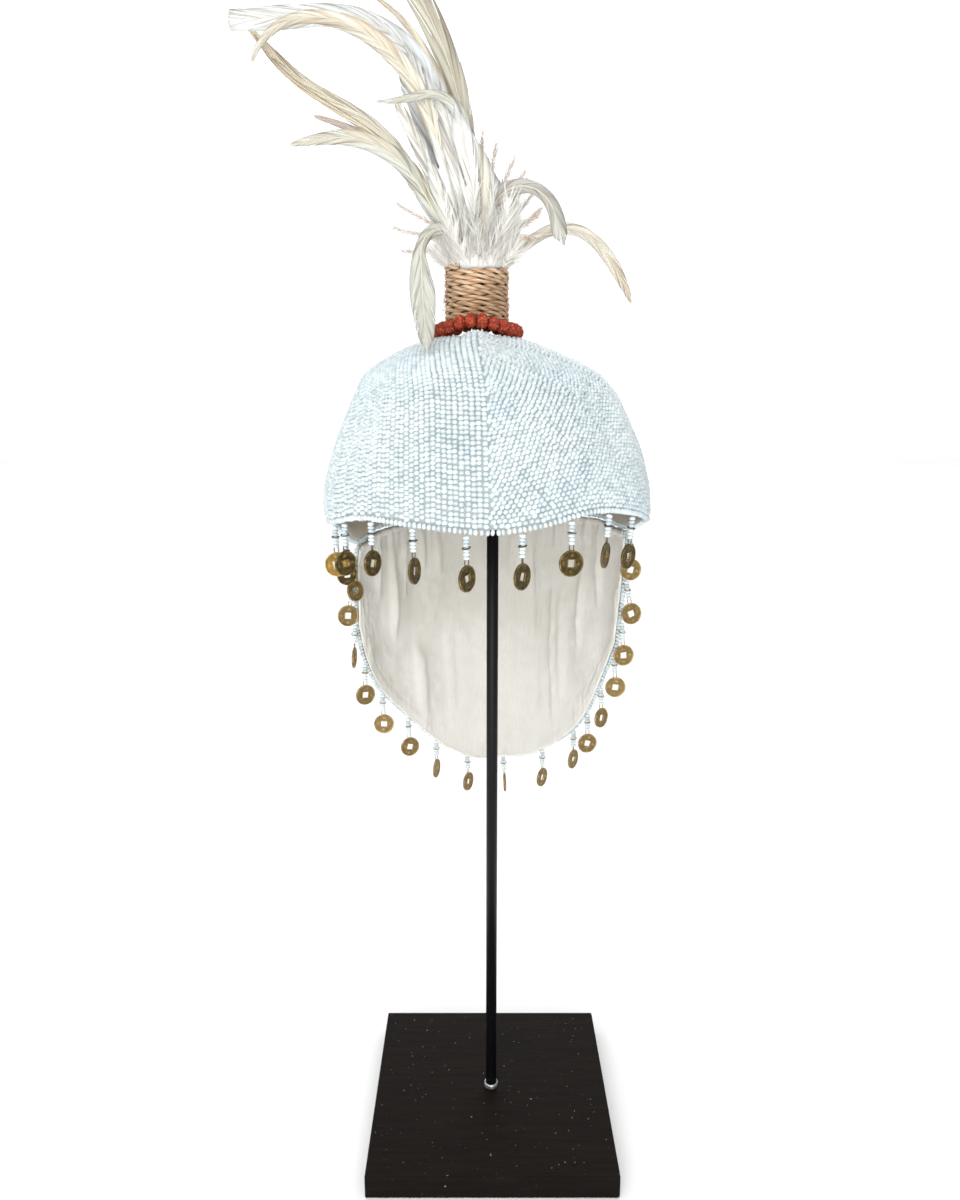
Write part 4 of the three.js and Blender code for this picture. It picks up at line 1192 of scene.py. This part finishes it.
def drop_piece(node, coin_material, wire_material):
    top, axes = drop_frame(node)
    local = Parts()
    shape, faces = bead_shape(DROP_BEAD_SIDES, DROP_BEAD_SECTION)
    middle_gap = STRING_LENGTH - DROP_BEADS * DROP_BEAD_LENGTH
    level = 0.0
    for index in range(DROP_BEADS):
        level -= middle_gap if index == DROP_BEADS // 2 else 0
        tilt = rng.normal(0, 4, 3)
        size = np.array([BEAD_DIAMETER / 2, BEAD_DIAMETER / 2, DROP_BEAD_LENGTH / 2 * 1.03])
        centre = (rng.normal(0, 0.08), rng.normal(0, 0.08), level - DROP_BEAD_LENGTH / 2)
        local.add(turn_about(shape * size * rng.uniform(0.97, 1.03), tilt, centre), faces)
        level -= DROP_BEAD_LENGTH
    ring_level = -DROP_BEADS / 2 * DROP_BEAD_LENGTH - middle_gap / 2
    points, faces, _ = tube(ring_path(WIRE_RING_RADIUS, WIRE_RING_RADIUS), WIRE_RADIUS, 8, closed=True)
    spin = (90 + rng.uniform(-10, 10), rng.uniform(-12, 12), 0)
    local.add(turn_about(points, spin, (0, 0, ring_level)), faces, 1)
    loop = ring_path(LOOP_HALF_WIDTH, LOOP_LENGTH / 2 + LOOP_OVERLAP)
    points, faces, _ = tube(loop, LOOP_WIRE_RADIUS, 8, closed=True)
    spin = (0, 0, rng.uniform(-25, 25))
    local.add(turn_about(points, spin, (0, 0, -STRING_LENGTH - LOOP_LENGTH / 2)), faces, 1)
    points, faces, values = COIN
    centre = (0, 0, -STRING_LENGTH - LOOP_LENGTH - COIN_DIAMETER / 2)
    local.add(turn_about(points, (0, rng.uniform(-20, 20), 0), centre), faces, 2, values=values)
    local.points = [top + block @ axes for block in local.points]
    piece = local.piece(f"{node}_string", [BEAD, wire_material, coin_material], "coin")
    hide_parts(node)


def drops():
    for node in sorted(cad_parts):
        if node == "rim_drop_02":
            drop_piece(node, GOLD_COIN, DARK_WIRE)
        elif node.startswith("rim_drop"):
            drop_piece(node, OLD_COIN, DARK_WIRE)
        elif node.startswith("flap_drop"):
            drop_piece(node, TAN_COIN, TAN_WIRE)


# Plume
FEATHER_LENGTH = 240
FEATHER_WIDTH = 12
DOWN_HEIGHT = 40
DOWN_DIAMETER = 44

# Blade width: place along, when the tip is pointed, when it is blunt
BLADE_PROFILE = [
    (0.0, 0.25, 0.25),
    (0.15, 0.7, 0.7),
    (0.4, 1.0, 1.0),
    (0.6, 0.84, 1.0),
    (0.8, 0.5, 0.95),
    (0.92, 0.24, 0.85),
    (1.0, 0.04, 0.7),
]

WHITE = (234, 235, 233)
COOL = (222, 226, 229)
CREAM = (220, 216, 203)
SILVER = (186, 184, 180)
OLIVE = (204, 206, 197)
BONE = (200, 197, 181)
TAN = (196, 172, 136)
SAND = (212, 198, 170)
PINK = (208, 182, 166)
BROWN = (128, 108, 90)
GREY = (146, 144, 140)
QUILL = (232, 225, 205)
SNOW = (254, 254, 254)
SOFT = (246, 246, 242)
WISP = (200, 172, 158)

# The CAD feathers, then more that lie close beside some of them
# length, width, start, rise, back, blunt, roll, barb angle, leans, body, tip, streak, streak share
FEATHERS = [
    (0.885, 1.2, -0.12, 0, 0.03, 0.8, 10, 22, (19, 8, 19, 58, 92, 90), COOL, WHITE, GREY, 0.1),
    (0.79, 0.8, -0.12, 0, -0.18, 0.1, -20, 18, (15, 16, 23, 54, 96, 165), CREAM, CREAM, TAN, 0.25),
    (0.79, 0.7, -0.17, 0, 0.2, 0.1, 25, 11, (40, 27, 40, 62, 47, 40), CREAM, SAND, TAN, 0.35),
    (0.48, 0.8, -0.22, 0, -0.36, 0.0, -10, 18, (35, 33, 35, 65, 96, 111), OLIVE, CREAM, TAN, 0.12),
    (0.54, 0.55, -0.27, 0, 0.4, 0.2, 15, 14, (30, 30, 35, 46, 64, 70), COOL, PINK, BROWN, 0.15),
    (0.5, 0.76, -0.02, 0, -0.2, 0.0, 20, 22, (10, 9, -4, 24, 102, 93), OLIVE, OLIVE, GREY, 0.1),
    (0.79, 1.1, 0.03, 0, 0.08, 0.6, 0, 9, (8, 3, 12, 22, 36, 55), BONE, BONE, BROWN, 0.4),
    (0.56, 0.7, -0.1, 0, 0.2, 0.2, 0, 12, (11, 10, 13, 22, 33, 36), GREY, BROWN, BROWN, 0.6),
    (0.37, 1.2, 0.08, 0.05, -0.22, 0, -15, 26, (-7, -14, -49, -113, -160, -164), SILVER, OLIVE, GREY, 0.12),
    (0.43, 0.7, 0.5, 0.02, 0.26, 0.0, 10, 16, (-70, -48, -84, -127, -146, -156), CREAM, SAND, TAN, 0.1),
    (0.37, 1.1, -0.16, 0.19, -0.56, 0.0, 0, 22, (25, 88, 175, 183, 186, 186), OLIVE, OLIVE, GREY, 0.12),
    (0.34, 0.7, -0.16, 0.16, -0.35, 0.4, -30, 20, (25, 80, 165, 178, 186, 188), PINK, PINK, TAN, 0.15),
    (0.72, 0.5, 0.09, 0, 0.1, 0.1, 30, 10, (6, 2, 11, 21, 33, 50), BONE, BONE, BROWN, 0.3),
    (0.64, 0.45, -0.03, 0, 0.05, 0.1, -25, 10, (9, 4, 13, 24, 38, 62), CREAM, SAND, BROWN, 0.3),
    (0.73, 0.42, -0.2, 0, 0.18, 0.1, 40, 10, (42, 28, 42, 58, 52, 28), SAND, TAN, BROWN, 0.3),
    (0.5, 1.0, -0.15, 0, 0.1, 0.2, 0, 18, (19, 11, 9, 15, 24, 42), WHITE, COOL, GREY, 0.12),
]


class Shaft:
    """A feather's centre line with its three axes, as functions of the place along it"""

    def __init__(self, start, length, leans, back, roll, samples=160):
        lean_at = smooth_curve(list(zip(np.linspace(0, 1, len(leans)), leans)), 1)
        self.along = np.linspace(0, 1, samples)
        lean = np.radians(lean_at(self.along))
        steps = np.stack([-np.sin(lean), np.full(samples, float(back)), np.cos(lean)], axis=1)
        steps = steps * length / (samples - 1)
        self.path = np.array(start, float) + np.concatenate([[[0, 0, 0]], np.cumsum(steps[:-1], axis=0)])
        heading = unit(np.gradient(self.path, axis=0))
        level = np.stack([np.cos(lean), np.zeros(samples), np.sin(lean)], axis=1)
        level = unit(level - heading * np.sum(level * heading, axis=1, keepdims=True))
        through = np.cross(heading, level)
        turn = math.radians(roll)
        self.heading = heading
        self.across = level * math.cos(turn) + through * math.sin(turn)
        self.through = np.cross(heading, self.across)
        self.length = length * math.sqrt(1 + back * back)

    def at(self, values, places):
        return np.stack([np.interp(places, self.along, values[:, k]) for k in range(3)], axis=-1)


CLUMP_BARBS = 11
BARB_PITCH = 0.64
VANE_COLUMNS = 7
VANE_START = 0.02
VANE_CURL = 0.22
SHAFT_RADIUS = 0.6
EDGE_SHADE = 0.36
SHAFT_SHADE = 0.16


def vane(gathered, shaft, half_width, look, angle, ragged=0.25, blunt=0.0):
    """Both sides of a vane: barbs side by side, in clumps that part a little at their tips.

    look: body, tip, streak, streak share. angle: of the barbs to the shaft, near its foot.
    """
    body, tip, streak = (np.array(linear(color)) for color in look[:3])
    streak_share = look[3]
    columns = VANE_COLUMNS
    count = int(shaft.length / BARB_PITCH)
    s = np.linspace(0, 1, columns)
    places = np.linspace(VANE_START, 0.995, count)
    for side in (-1, 1):
        clump = np.cumsum(rng.uniform(0, 1, count) < 1 / CLUMP_BARBS)
        apart = rng.normal(0, 1, (clump.max() + 1, 4))[clump]
        tilt = np.radians(angle * (1 - 0.45 * places))
        half = half_width(places) * (1 + 0.015 * apart[:, 1])
        reach = half / np.sin(tilt)
        room = (1 - places) * shaft.length + 0.6 + 3 * blunt
        reach = np.minimum(reach, room * (0.62 + 0.3 * blunt) / np.cos(tilt))
        tilt = tilt + np.radians(ragged * apart[:, 0])
        across, through = shaft.at(shaft.across, places) * side, shaft.at(shaft.through, places)
        out = across[:, None] * np.sin(tilt)[:, None, None] * s[None, :, None]
        run = np.cos(tilt)[:, None] * (s + 0.1 * s * s)[None] * reach[:, None]
        run = (places * shaft.length)[:, None] + run
        middle = shaft.at(shaft.path, np.minimum(run / shaft.length, 1))
        over = np.maximum(run - shaft.length, 0)[..., None] * shaft.heading[-1]
        lift = through[:, None] * ((VANE_CURL + 0.05 * apart[:, 2])[:, None] * (s * s)[None])[..., None]
        lift = lift * half[:, None, None]
        points = middle + over + out * reach[:, None, None] + lift
        joined = rng.integers(columns // 2, columns, count)
        inside = (clump[:-1] == clump[1:])[:, None] | (np.arange(columns - 1)[None] < joined[:-1, None])
        corner = np.arange(count - 1)[:, None] * columns + np.arange(columns - 1)[None]
        corner = corner[inside]
        faces = np.stack([corner, corner + 1, corner + columns + 1, corner + columns], axis=-1)
        blend = np.clip((places - 0.55) / 0.45, 0, 1)[:, None, None]
        tint = body * (1 - blend) + tip * blend
        dark = (rng.uniform(0, 1, clump.max() + 1) < streak_share)[clump] * rng.uniform(0.3, 0.9, count)
        dark = dark[:, None, None] * (0.3 + 0.7 * s)[None, :, None]
        tint = tint * (1 - dark) + streak * dark
        shade = 1 - EDGE_SHADE * np.clip((s - 0.7) / 0.3, 0, 1) ** 1.5
        shade = shade - SHAFT_SHADE * np.clip(1 - s / 0.3, 0, 1)
        tint = tint * shade[None, :, None] * (0.96 + 0.04 * np.tanh(apart[:, 3]))[:, None, None]
        tint[..., 3] = 1
        lines = places * shaft.length * math.sin(math.radians(angle * 0.75)) + rng.uniform(0, 500)
        uvs = np.stack(np.broadcast_arrays(lines[:, None], s * reach[:, None]), -1) * MM
        gathered.add(points, faces.tolist(), uvs=uvs, tints=tint)


# Loose barbs: angle to the shaft at its foot and its tip, spread and least angle, width, curl, steps
LOOSE_ANGLES = (44, 24)
LOOSE_SPREAD = 7
LOOSE_LEAST_ANGLE = 15
LOOSE_WIDTH = 0.4
LOOSE_CURL = 0.25
LOOSE_STEPS = 5


def loose_barbs(gathered, shaft, half_width, count, tints):
    """Soft separate barbs on both sides of a thin shaft. tints: two colours that they mix."""
    first, second = (np.array(linear(color)) for color in tints)
    steps = LOOSE_STEPS
    s = np.linspace(0, 1, steps)
    for side in (-1, 1):
        places = np.clip(np.linspace(0.04, 0.99, count) + rng.normal(0, 0.006, count), 0, 1)
        angle = LOOSE_ANGLES[0] + (LOOSE_ANGLES[1] - LOOSE_ANGLES[0]) * places
        angle = angle + rng.normal(0, LOOSE_SPREAD, count)
        tilt = np.radians(angle).clip(math.radians(LOOSE_LEAST_ANGLE))
        base, heading = shaft.at(shaft.path, places), shaft.at(shaft.heading, places)
        across, through = shaft.at(shaft.across, places) * side, shaft.at(shaft.through, places)
        reach = half_width(places) / np.sin(tilt) * rng.uniform(0.7, 1.25, count)
        out = across[:, None] * np.sin(tilt)[:, None, None] * s[None, :, None]
        on = heading[:, None] * (np.cos(tilt)[:, None] * (s + 0.25 * s * s)[None])[..., None]
        bend = rng.normal(0, LOOSE_CURL, count)
        lift = through[:, None] * (bend[:, None] * (s * s)[None])[..., None]
        paths = base[:, None] + (out + on + lift) * reach[:, None, None]
        flat = heading * np.sin(tilt)[:, None] - across * np.cos(tilt)[:, None]
        flat = unit(flat + through * rng.normal(0, 0.6, (count, 1)))
        wide = LOOSE_WIDTH * (1 - 0.75 * s**2)[None] * rng.uniform(0.7, 1.3, (count, 1))
        aside = flat[:, None] * wide[..., None] / 2
        points = np.stack([paths - aside, paths + aside], axis=2)
        blocks = (np.arange(count) * steps * 2)[:, None] + np.arange(steps - 1)[None] * 2
        faces = np.stack([blocks, blocks + 1, blocks + 3, blocks + 2], axis=-1).reshape(-1, 4)
        blend = rng.uniform(0, 1, (count, 1, 1))
        tint = np.broadcast_to(first * (1 - blend) + second * blend, (count, steps, 4))
        tint = np.repeat(tint[:, :, None], 2, axis=2).copy()
        tint[..., 3] = 1
        gathered.add(points, faces.tolist(), tints=tint)


def shaft_tube(gathered, shaft, radius, color, end=0.97):
    keep = shaft.along <= end
    path = shaft.path[keep][::4]
    taper = np.linspace(1, 0.2, len(path))
    points, faces, _ = tube(path, radius * taper, 6)
    gathered.add(points, faces, tints=np.tile(np.array(linear(color)), (len(points), 1)))


def long_feathers():
    for index, row in enumerate(FEATHERS):
        length, width, start, rise, back, blunt, roll, angle, leans, body, tip, streak, share = row
        place = (STEM_X + start * DOWN_DIAMETER / 2, STEM_Y, ROPE_TOP + DOWN_HEIGHT * rise)
        shaft = Shaft(place, FEATHER_LENGTH * length, leans, back, roll)
        profile = smooth_curve([(a, w * (1 - blunt) + b * blunt) for a, w, b in BLADE_PROFILE], 1)
        half = FEATHER_WIDTH * width / 2

        def half_width(places, half=half, profile=profile):
            return half * profile(places)

        gathered = Parts()
        vane(gathered, shaft, half_width, (body, tip, streak, share), angle, blunt=blunt)
        shaft_tube(gathered, shaft, SHAFT_RADIUS, QUILL)
        piece = gathered.piece(f"feather_{index + 1:02d}", VANE, "feather")
        if index == 0:
            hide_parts("plume")


# Straight hackles among the long feathers: lean, length, half width, start, depth, body, tip
HACKLES = [
    (20, 92, 4.2, -0.8, -0.1, WHITE, CREAM),
    (16, 108, 5.4, -0.65, 0.35, COOL, WHITE),
    (12, 88, 4.8, -0.5, -0.5, WHITE, CREAM),
    (14, 118, 6.0, -0.45, 0.1, WHITE, COOL),
    (9, 92, 5.0, -0.25, -0.6, WHITE, OLIVE),
    (8, 98, 6.0, -0.1, 0.35, COOL, WHITE),
    (5, 80, 5.4, 0.0, -0.7, WHITE, COOL),
    (6, 84, 5.4, 0.15, 0.0, WHITE, CREAM),
    (2, 66, 5.2, 0.3, -0.6, CREAM, WHITE),
    (3, 70, 5.6, 0.4, 0.4, WHITE, COOL),
    (-3, 52, 5.0, 0.55, -0.4, COOL, WHITE),
    (-1, 56, 5.0, 0.6, 0.2, WHITE, PINK),
    (-10, 44, 4.8, 0.75, -0.2, WHITE, WHITE),
    (-12, 46, 4.6, 0.85, 0.35, COOL, WHITE),
    (25, 52, 4.4, -0.9, 0.1, COOL, OLIVE),
    (14, 56, 5.0, -0.75, -0.5, WHITE, WHITE),
    (7, 100, 5.0, -0.2, 0.8, WHITE, COOL),
    (2, 72, 5.0, 0.3, 0.8, COOL, WHITE),
]

HACKLE_BARB_ANGLE = 15
HACKLE_RAGGED = 1.2
HACKLE_SHAFT_RADIUS = 0.42


def hackles():
    gathered = Parts()
    profile = smooth_curve([(0, 0.5), (0.3, 1), (0.6, 0.8), (0.85, 0.45), (1, 0.1)], 1)
    for lean, length, half, start, depth, body, tip in HACKLES:
        place = (STEM_X + start * QUILL_RADIUS, STEM_Y + depth * QUILL_RADIUS, ROPE_TOP - 1)
        leans = (lean * 0.4, lean * 0.7, lean + 2, lean + 7, lean + 14 + rng.normal(0, 3))
        shaft = Shaft(place, length, leans, depth * 0.12, rng.uniform(-25, 25))
        look = (body, tip, GREY, 0.12)

        def half_width(places, half=half):
            return half * profile(places)

        vane(gathered, shaft, half_width, look, HACKLE_BARB_ANGLE, ragged=HACKLE_RAGGED)
        shaft_tube(gathered, shaft, HACKLE_SHAFT_RADIUS, QUILL)
    gathered.piece("hackles", VANE, "feather")


# Down: rings of soft tufts round the stem. count, start share of the radius, lean out, length
DOWN_RINGS = [
    (32, 1.16, 34, 11),
    (24, 1.05, 20, 20),
    (16, 0.95, 22, 32),
    (12, 0.8, 14, 37),
    (8, 0.5, 7, 41),
]

# Wispy tips at the plume's foot: place to the right of the stem, height, depth, lean, length
WISPS = [
    (-14, 14, 0, 60, 34),
    (-14, 10, -4, 76, 32),
    (-14, 18, 4, 44, 34),
    (-15, 6, 3, 88, 26),
    (12, 8, 0, -72, 26),
    (12, 12, 3, -58, 27),
    (11, 13, -3, -88, 22),
    (4, 30, 6, -12, 34),
    (8, 28, 8, -24, 32),
    (10, 26, 5, -36, 28),
    (1, 34, 8, -4, 36),
    (13, 16, 5, -40, 30),
    (13, 12, 7, -52, 30),
    (12, 8, 4, -66, 24),
    (13, 20, 8, -30, 30),
]

TUFT_BARBS_PER_MM = 1.4
TUFT_SHAFT_RADIUS = 0.22
TUFT_HALF_WIDTH = 4.5
WISP_HALF_WIDTH = 1.6


def tuft(gathered, place, length, leans, swing, half, tips):
    """One soft tuft whose barbs are thin and loose. swing: degrees about the stem's axis."""
    shaft = Shaft((0, 0, 0), length, leans, 0, rng.uniform(-40, 40), samples=60)
    turn = math.radians(swing)
    matrix = np.array([[math.cos(turn), math.sin(turn), 0], [-math.sin(turn), math.cos(turn), 0], [0, 0, 1]])
    for name in ("path", "heading", "across", "through"):
        setattr(shaft, name, getattr(shaft, name) @ matrix)
    shaft.path = shaft.path + np.array(place)
    profile = smooth_curve([(0, 0.5), (0.35, 1), (0.75, 0.9), (1, 0.4)], 1)

    def half_width(places):
        return half * profile(places)

    foot = SNOW if tips == SOFT else WHITE
    loose_barbs(gathered, shaft, half_width, int(length * TUFT_BARBS_PER_MM), (foot, tips))
    shaft_tube(gathered, shaft, TUFT_SHAFT_RADIUS, tips)


# Bed of down inside the top of the wrap: radius, height above the wrap
DOWN_BED = [(0, -6), (12, -6), (15.5, -0.5), (15.8, 1.5), (13.5, 6), (10, 13), (6, 21), (2.5, 28), (0, 30)]


def down_bed(gathered):
    points, faces = turned_shape(DOWN_BED, 40)
    points = points * (1 + 0.06 * fractal(points, 3.5))[:, None] + [STEM_X, STEM_Y, ROPE_TOP]
    gathered.add(points, faces, tints=np.tile(np.array(linear(SNOW)), (len(points), 1)))


def down():
    gathered = Parts()
    down_bed(gathered)
    for count, start, lean, length in DOWN_RINGS:
        for index in range(count):
            swing = 360 * (index + rng.uniform(-0.3, 0.3)) / count
            out = start * QUILL_RADIUS
            turn = math.radians(swing)
            place = (STEM_X - out * math.cos(turn), STEM_Y + out * math.sin(turn), ROPE_TOP - 1.5)
            spread = lean * rng.uniform(0.7, 1.3)
            leans = (spread * 0.5, spread, spread * 0.9, spread * 0.2)
            tuft(gathered, place, length * rng.uniform(0.8, 1.1), leans, -swing, TUFT_HALF_WIDTH, SOFT)
    gathered.piece("down_tufts", VANE, "feather")
    gathered = Parts()
    for side, height, depth, lean, length in WISPS:
        place = (STEM_X + side, STEM_Y + depth, ROPE_TOP + height)
        leans = (lean * 0.7, lean, lean * 1.05, lean * 0.9)
        tuft(gathered, place, length, leans, 0, WISP_HALF_WIDTH, WISP)
    gathered.piece("down_wisps", VANE, "feather")


BOARD_EDGE = 0.9


def bevelled_board():
    """The stand's board with softened edges"""
    half = BASE_WIDTH / 2
    mesh = bpy.data.meshes.new("board")
    square = ((-half, -half), (half, -half), (half, half), (-half, half))
    corners = [(x * MM, y * MM, z * MM) for z in (0, BASE_HEIGHT) for x, y in square]
    faces = [(3, 2, 1, 0), (4, 5, 6, 7), (0, 1, 5, 4), (1, 2, 6, 5), (2, 3, 7, 6), (3, 0, 4, 7)]
    mesh.from_pydata(corners, [], faces)
    piece = placed("board", mesh)
    bevel = piece.modifiers.new("edges", "BEVEL")
    bevel.width = BOARD_EDGE * MM
    bevel.segments = 3
    mesh.materials.append(painted_board())
    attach(piece, BODY)
    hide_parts("stand_base")


def stand():
    bevelled_board()
    low, high = (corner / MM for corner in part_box("stand_rod"))
    radius = ROD_DIAMETER / 2
    profile = [(0, low.z), (radius, low.z), (radius, (low.z + high.z) / 2), (radius, high.z), (0, high.z)]
    steel = black_steel()
    points, faces = turned_shape(profile, 48)
    piece = add_piece("rod", points, faces, steel, "steel")
    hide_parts("stand_rod")
    low, high = (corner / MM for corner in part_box("stand_foot"))
    inner, outer = radius + GAP, high.x
    profile = [(inner, low.z), (outer, low.z), (outer * 0.97, low.z + 0.8), (inner + 0.9, low.z + 1.9)]
    profile += [(inner + 0.35, high.z), (inner, high.z), (inner, low.z)]
    points, faces = turned_shape(profile, 40)
    points[:, :2] *= 1 + 0.05 * fractal(points, 2.2)[:, None]
    piece = add_piece("rod_weld", points, faces, weld_metal(), "weld")
    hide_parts("stand_foot")
    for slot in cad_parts["stand_head"].material_slots:
        slot.material = steel


# Studio: pale floor, white surroundings and large soft lights
FLOOR_SIZE = 12.0
WORLD_STRENGTH = 1.2

# Surroundings: direction, how far off it they begin to darken, how much darker than behind the hat
DARKER = [
    ("right", (1, 0, 0), 0.3, 0.66),
    ("left", (-1, 0, 0), 0.4, 0.42),
    ("front", (0, -1, 0), 0.4, 0.02),
    ("above", (0, 0, 1), 0.4, 0.08),
]

# Lights: name, place in metres, size, power, aimed at
LIGHTS = [
    ("key", (-0.4, -1.35, 1.1), 1.0, 4, (0, 0, 0.4)),
    ("low", (-0.2, -1.3, 0.15), 1.7, 16.5, (0, 0.05, 0.3)),
    ("back", (0.2, 1.4, 1.4), 1.4, 4, (0, 0, 0.45)),
    ("far_floor", (0, 4.5, 3.5), 4, 20, (0, 4.5, 0)),
]


def surroundings():
    world = bpy.data.worlds.new("studio")
    bpy.context.scene.world = world
    world.use_nodes = True
    nodes, links = world.node_tree.nodes, world.node_tree.links
    coordinates = nodes.new("ShaderNodeTexCoord")
    strength = None
    for _, direction, begin, amount in DARKER:
        dot = nodes.new("ShaderNodeVectorMath")
        dot.operation = "DOT_PRODUCT"
        dot.inputs[1].default_value = direction
        links.new(coordinates.outputs["Generated"], dot.inputs[0])
        ramp = nodes.new("ShaderNodeMapRange")
        ramp.interpolation_type = "SMOOTHSTEP"
        ramp.inputs["From Min"].default_value = begin
        ramp.inputs["From Max"].default_value = 0.9
        ramp.inputs["To Min"].default_value = WORLD_STRENGTH if strength is None else 1
        ramp.inputs["To Max"].default_value = ramp.inputs["To Min"].default_value * (1 - amount)
        links.new(dot.outputs["Value"], ramp.inputs["Value"])
        if strength is None:
            strength = ramp.outputs["Result"]
            continue
        product = nodes.new("ShaderNodeMath")
        product.operation = "MULTIPLY"
        links.new(strength, product.inputs[0])
        links.new(ramp.outputs["Result"], product.inputs[1])
        strength = product.outputs[0]
    nodes["Background"].inputs["Color"].default_value = (1, 1, 1, 1)
    links.new(strength, nodes["Background"].inputs["Strength"])


def studio():
    surroundings()
    mesh = bpy.data.meshes.new("floor")
    half = FLOOR_SIZE / 2
    corners = [(-half, -half, 0), (half, -half, 0), (half, half, 0), (-half, half, 0)]
    mesh.from_pydata(corners, [], [(0, 1, 2, 3)])
    look = Look("floor_white", roughness=0.9)
    look.color(look.ramp(look.noise(3, 2), [(0.3, (250, 250, 250)), (0.7, (254, 254, 254))]))
    mesh.materials.append(look.material)
    floor = placed("floor", mesh)
    for name, place, size, power, target in LIGHTS:
        data = bpy.data.lights.new(name, "AREA")
        data.shape = "DISK"
        data.size = size
        data.energy = power
        lamp = placed(name, data)
        lamp.location = place
        lamp.rotation_euler = (Vector(target) - Vector(place)).to_track_quat("-Z", "Y").to_euler()
    bpy.context.scene.view_settings.view_transform = "Standard"


stand()
crown_beads()
flap_beads()
crown_cloths()
flap_cloths()
flap_hem()
rope()
seed_ring()
drops()
long_feathers()
hackles()
down()
studio()
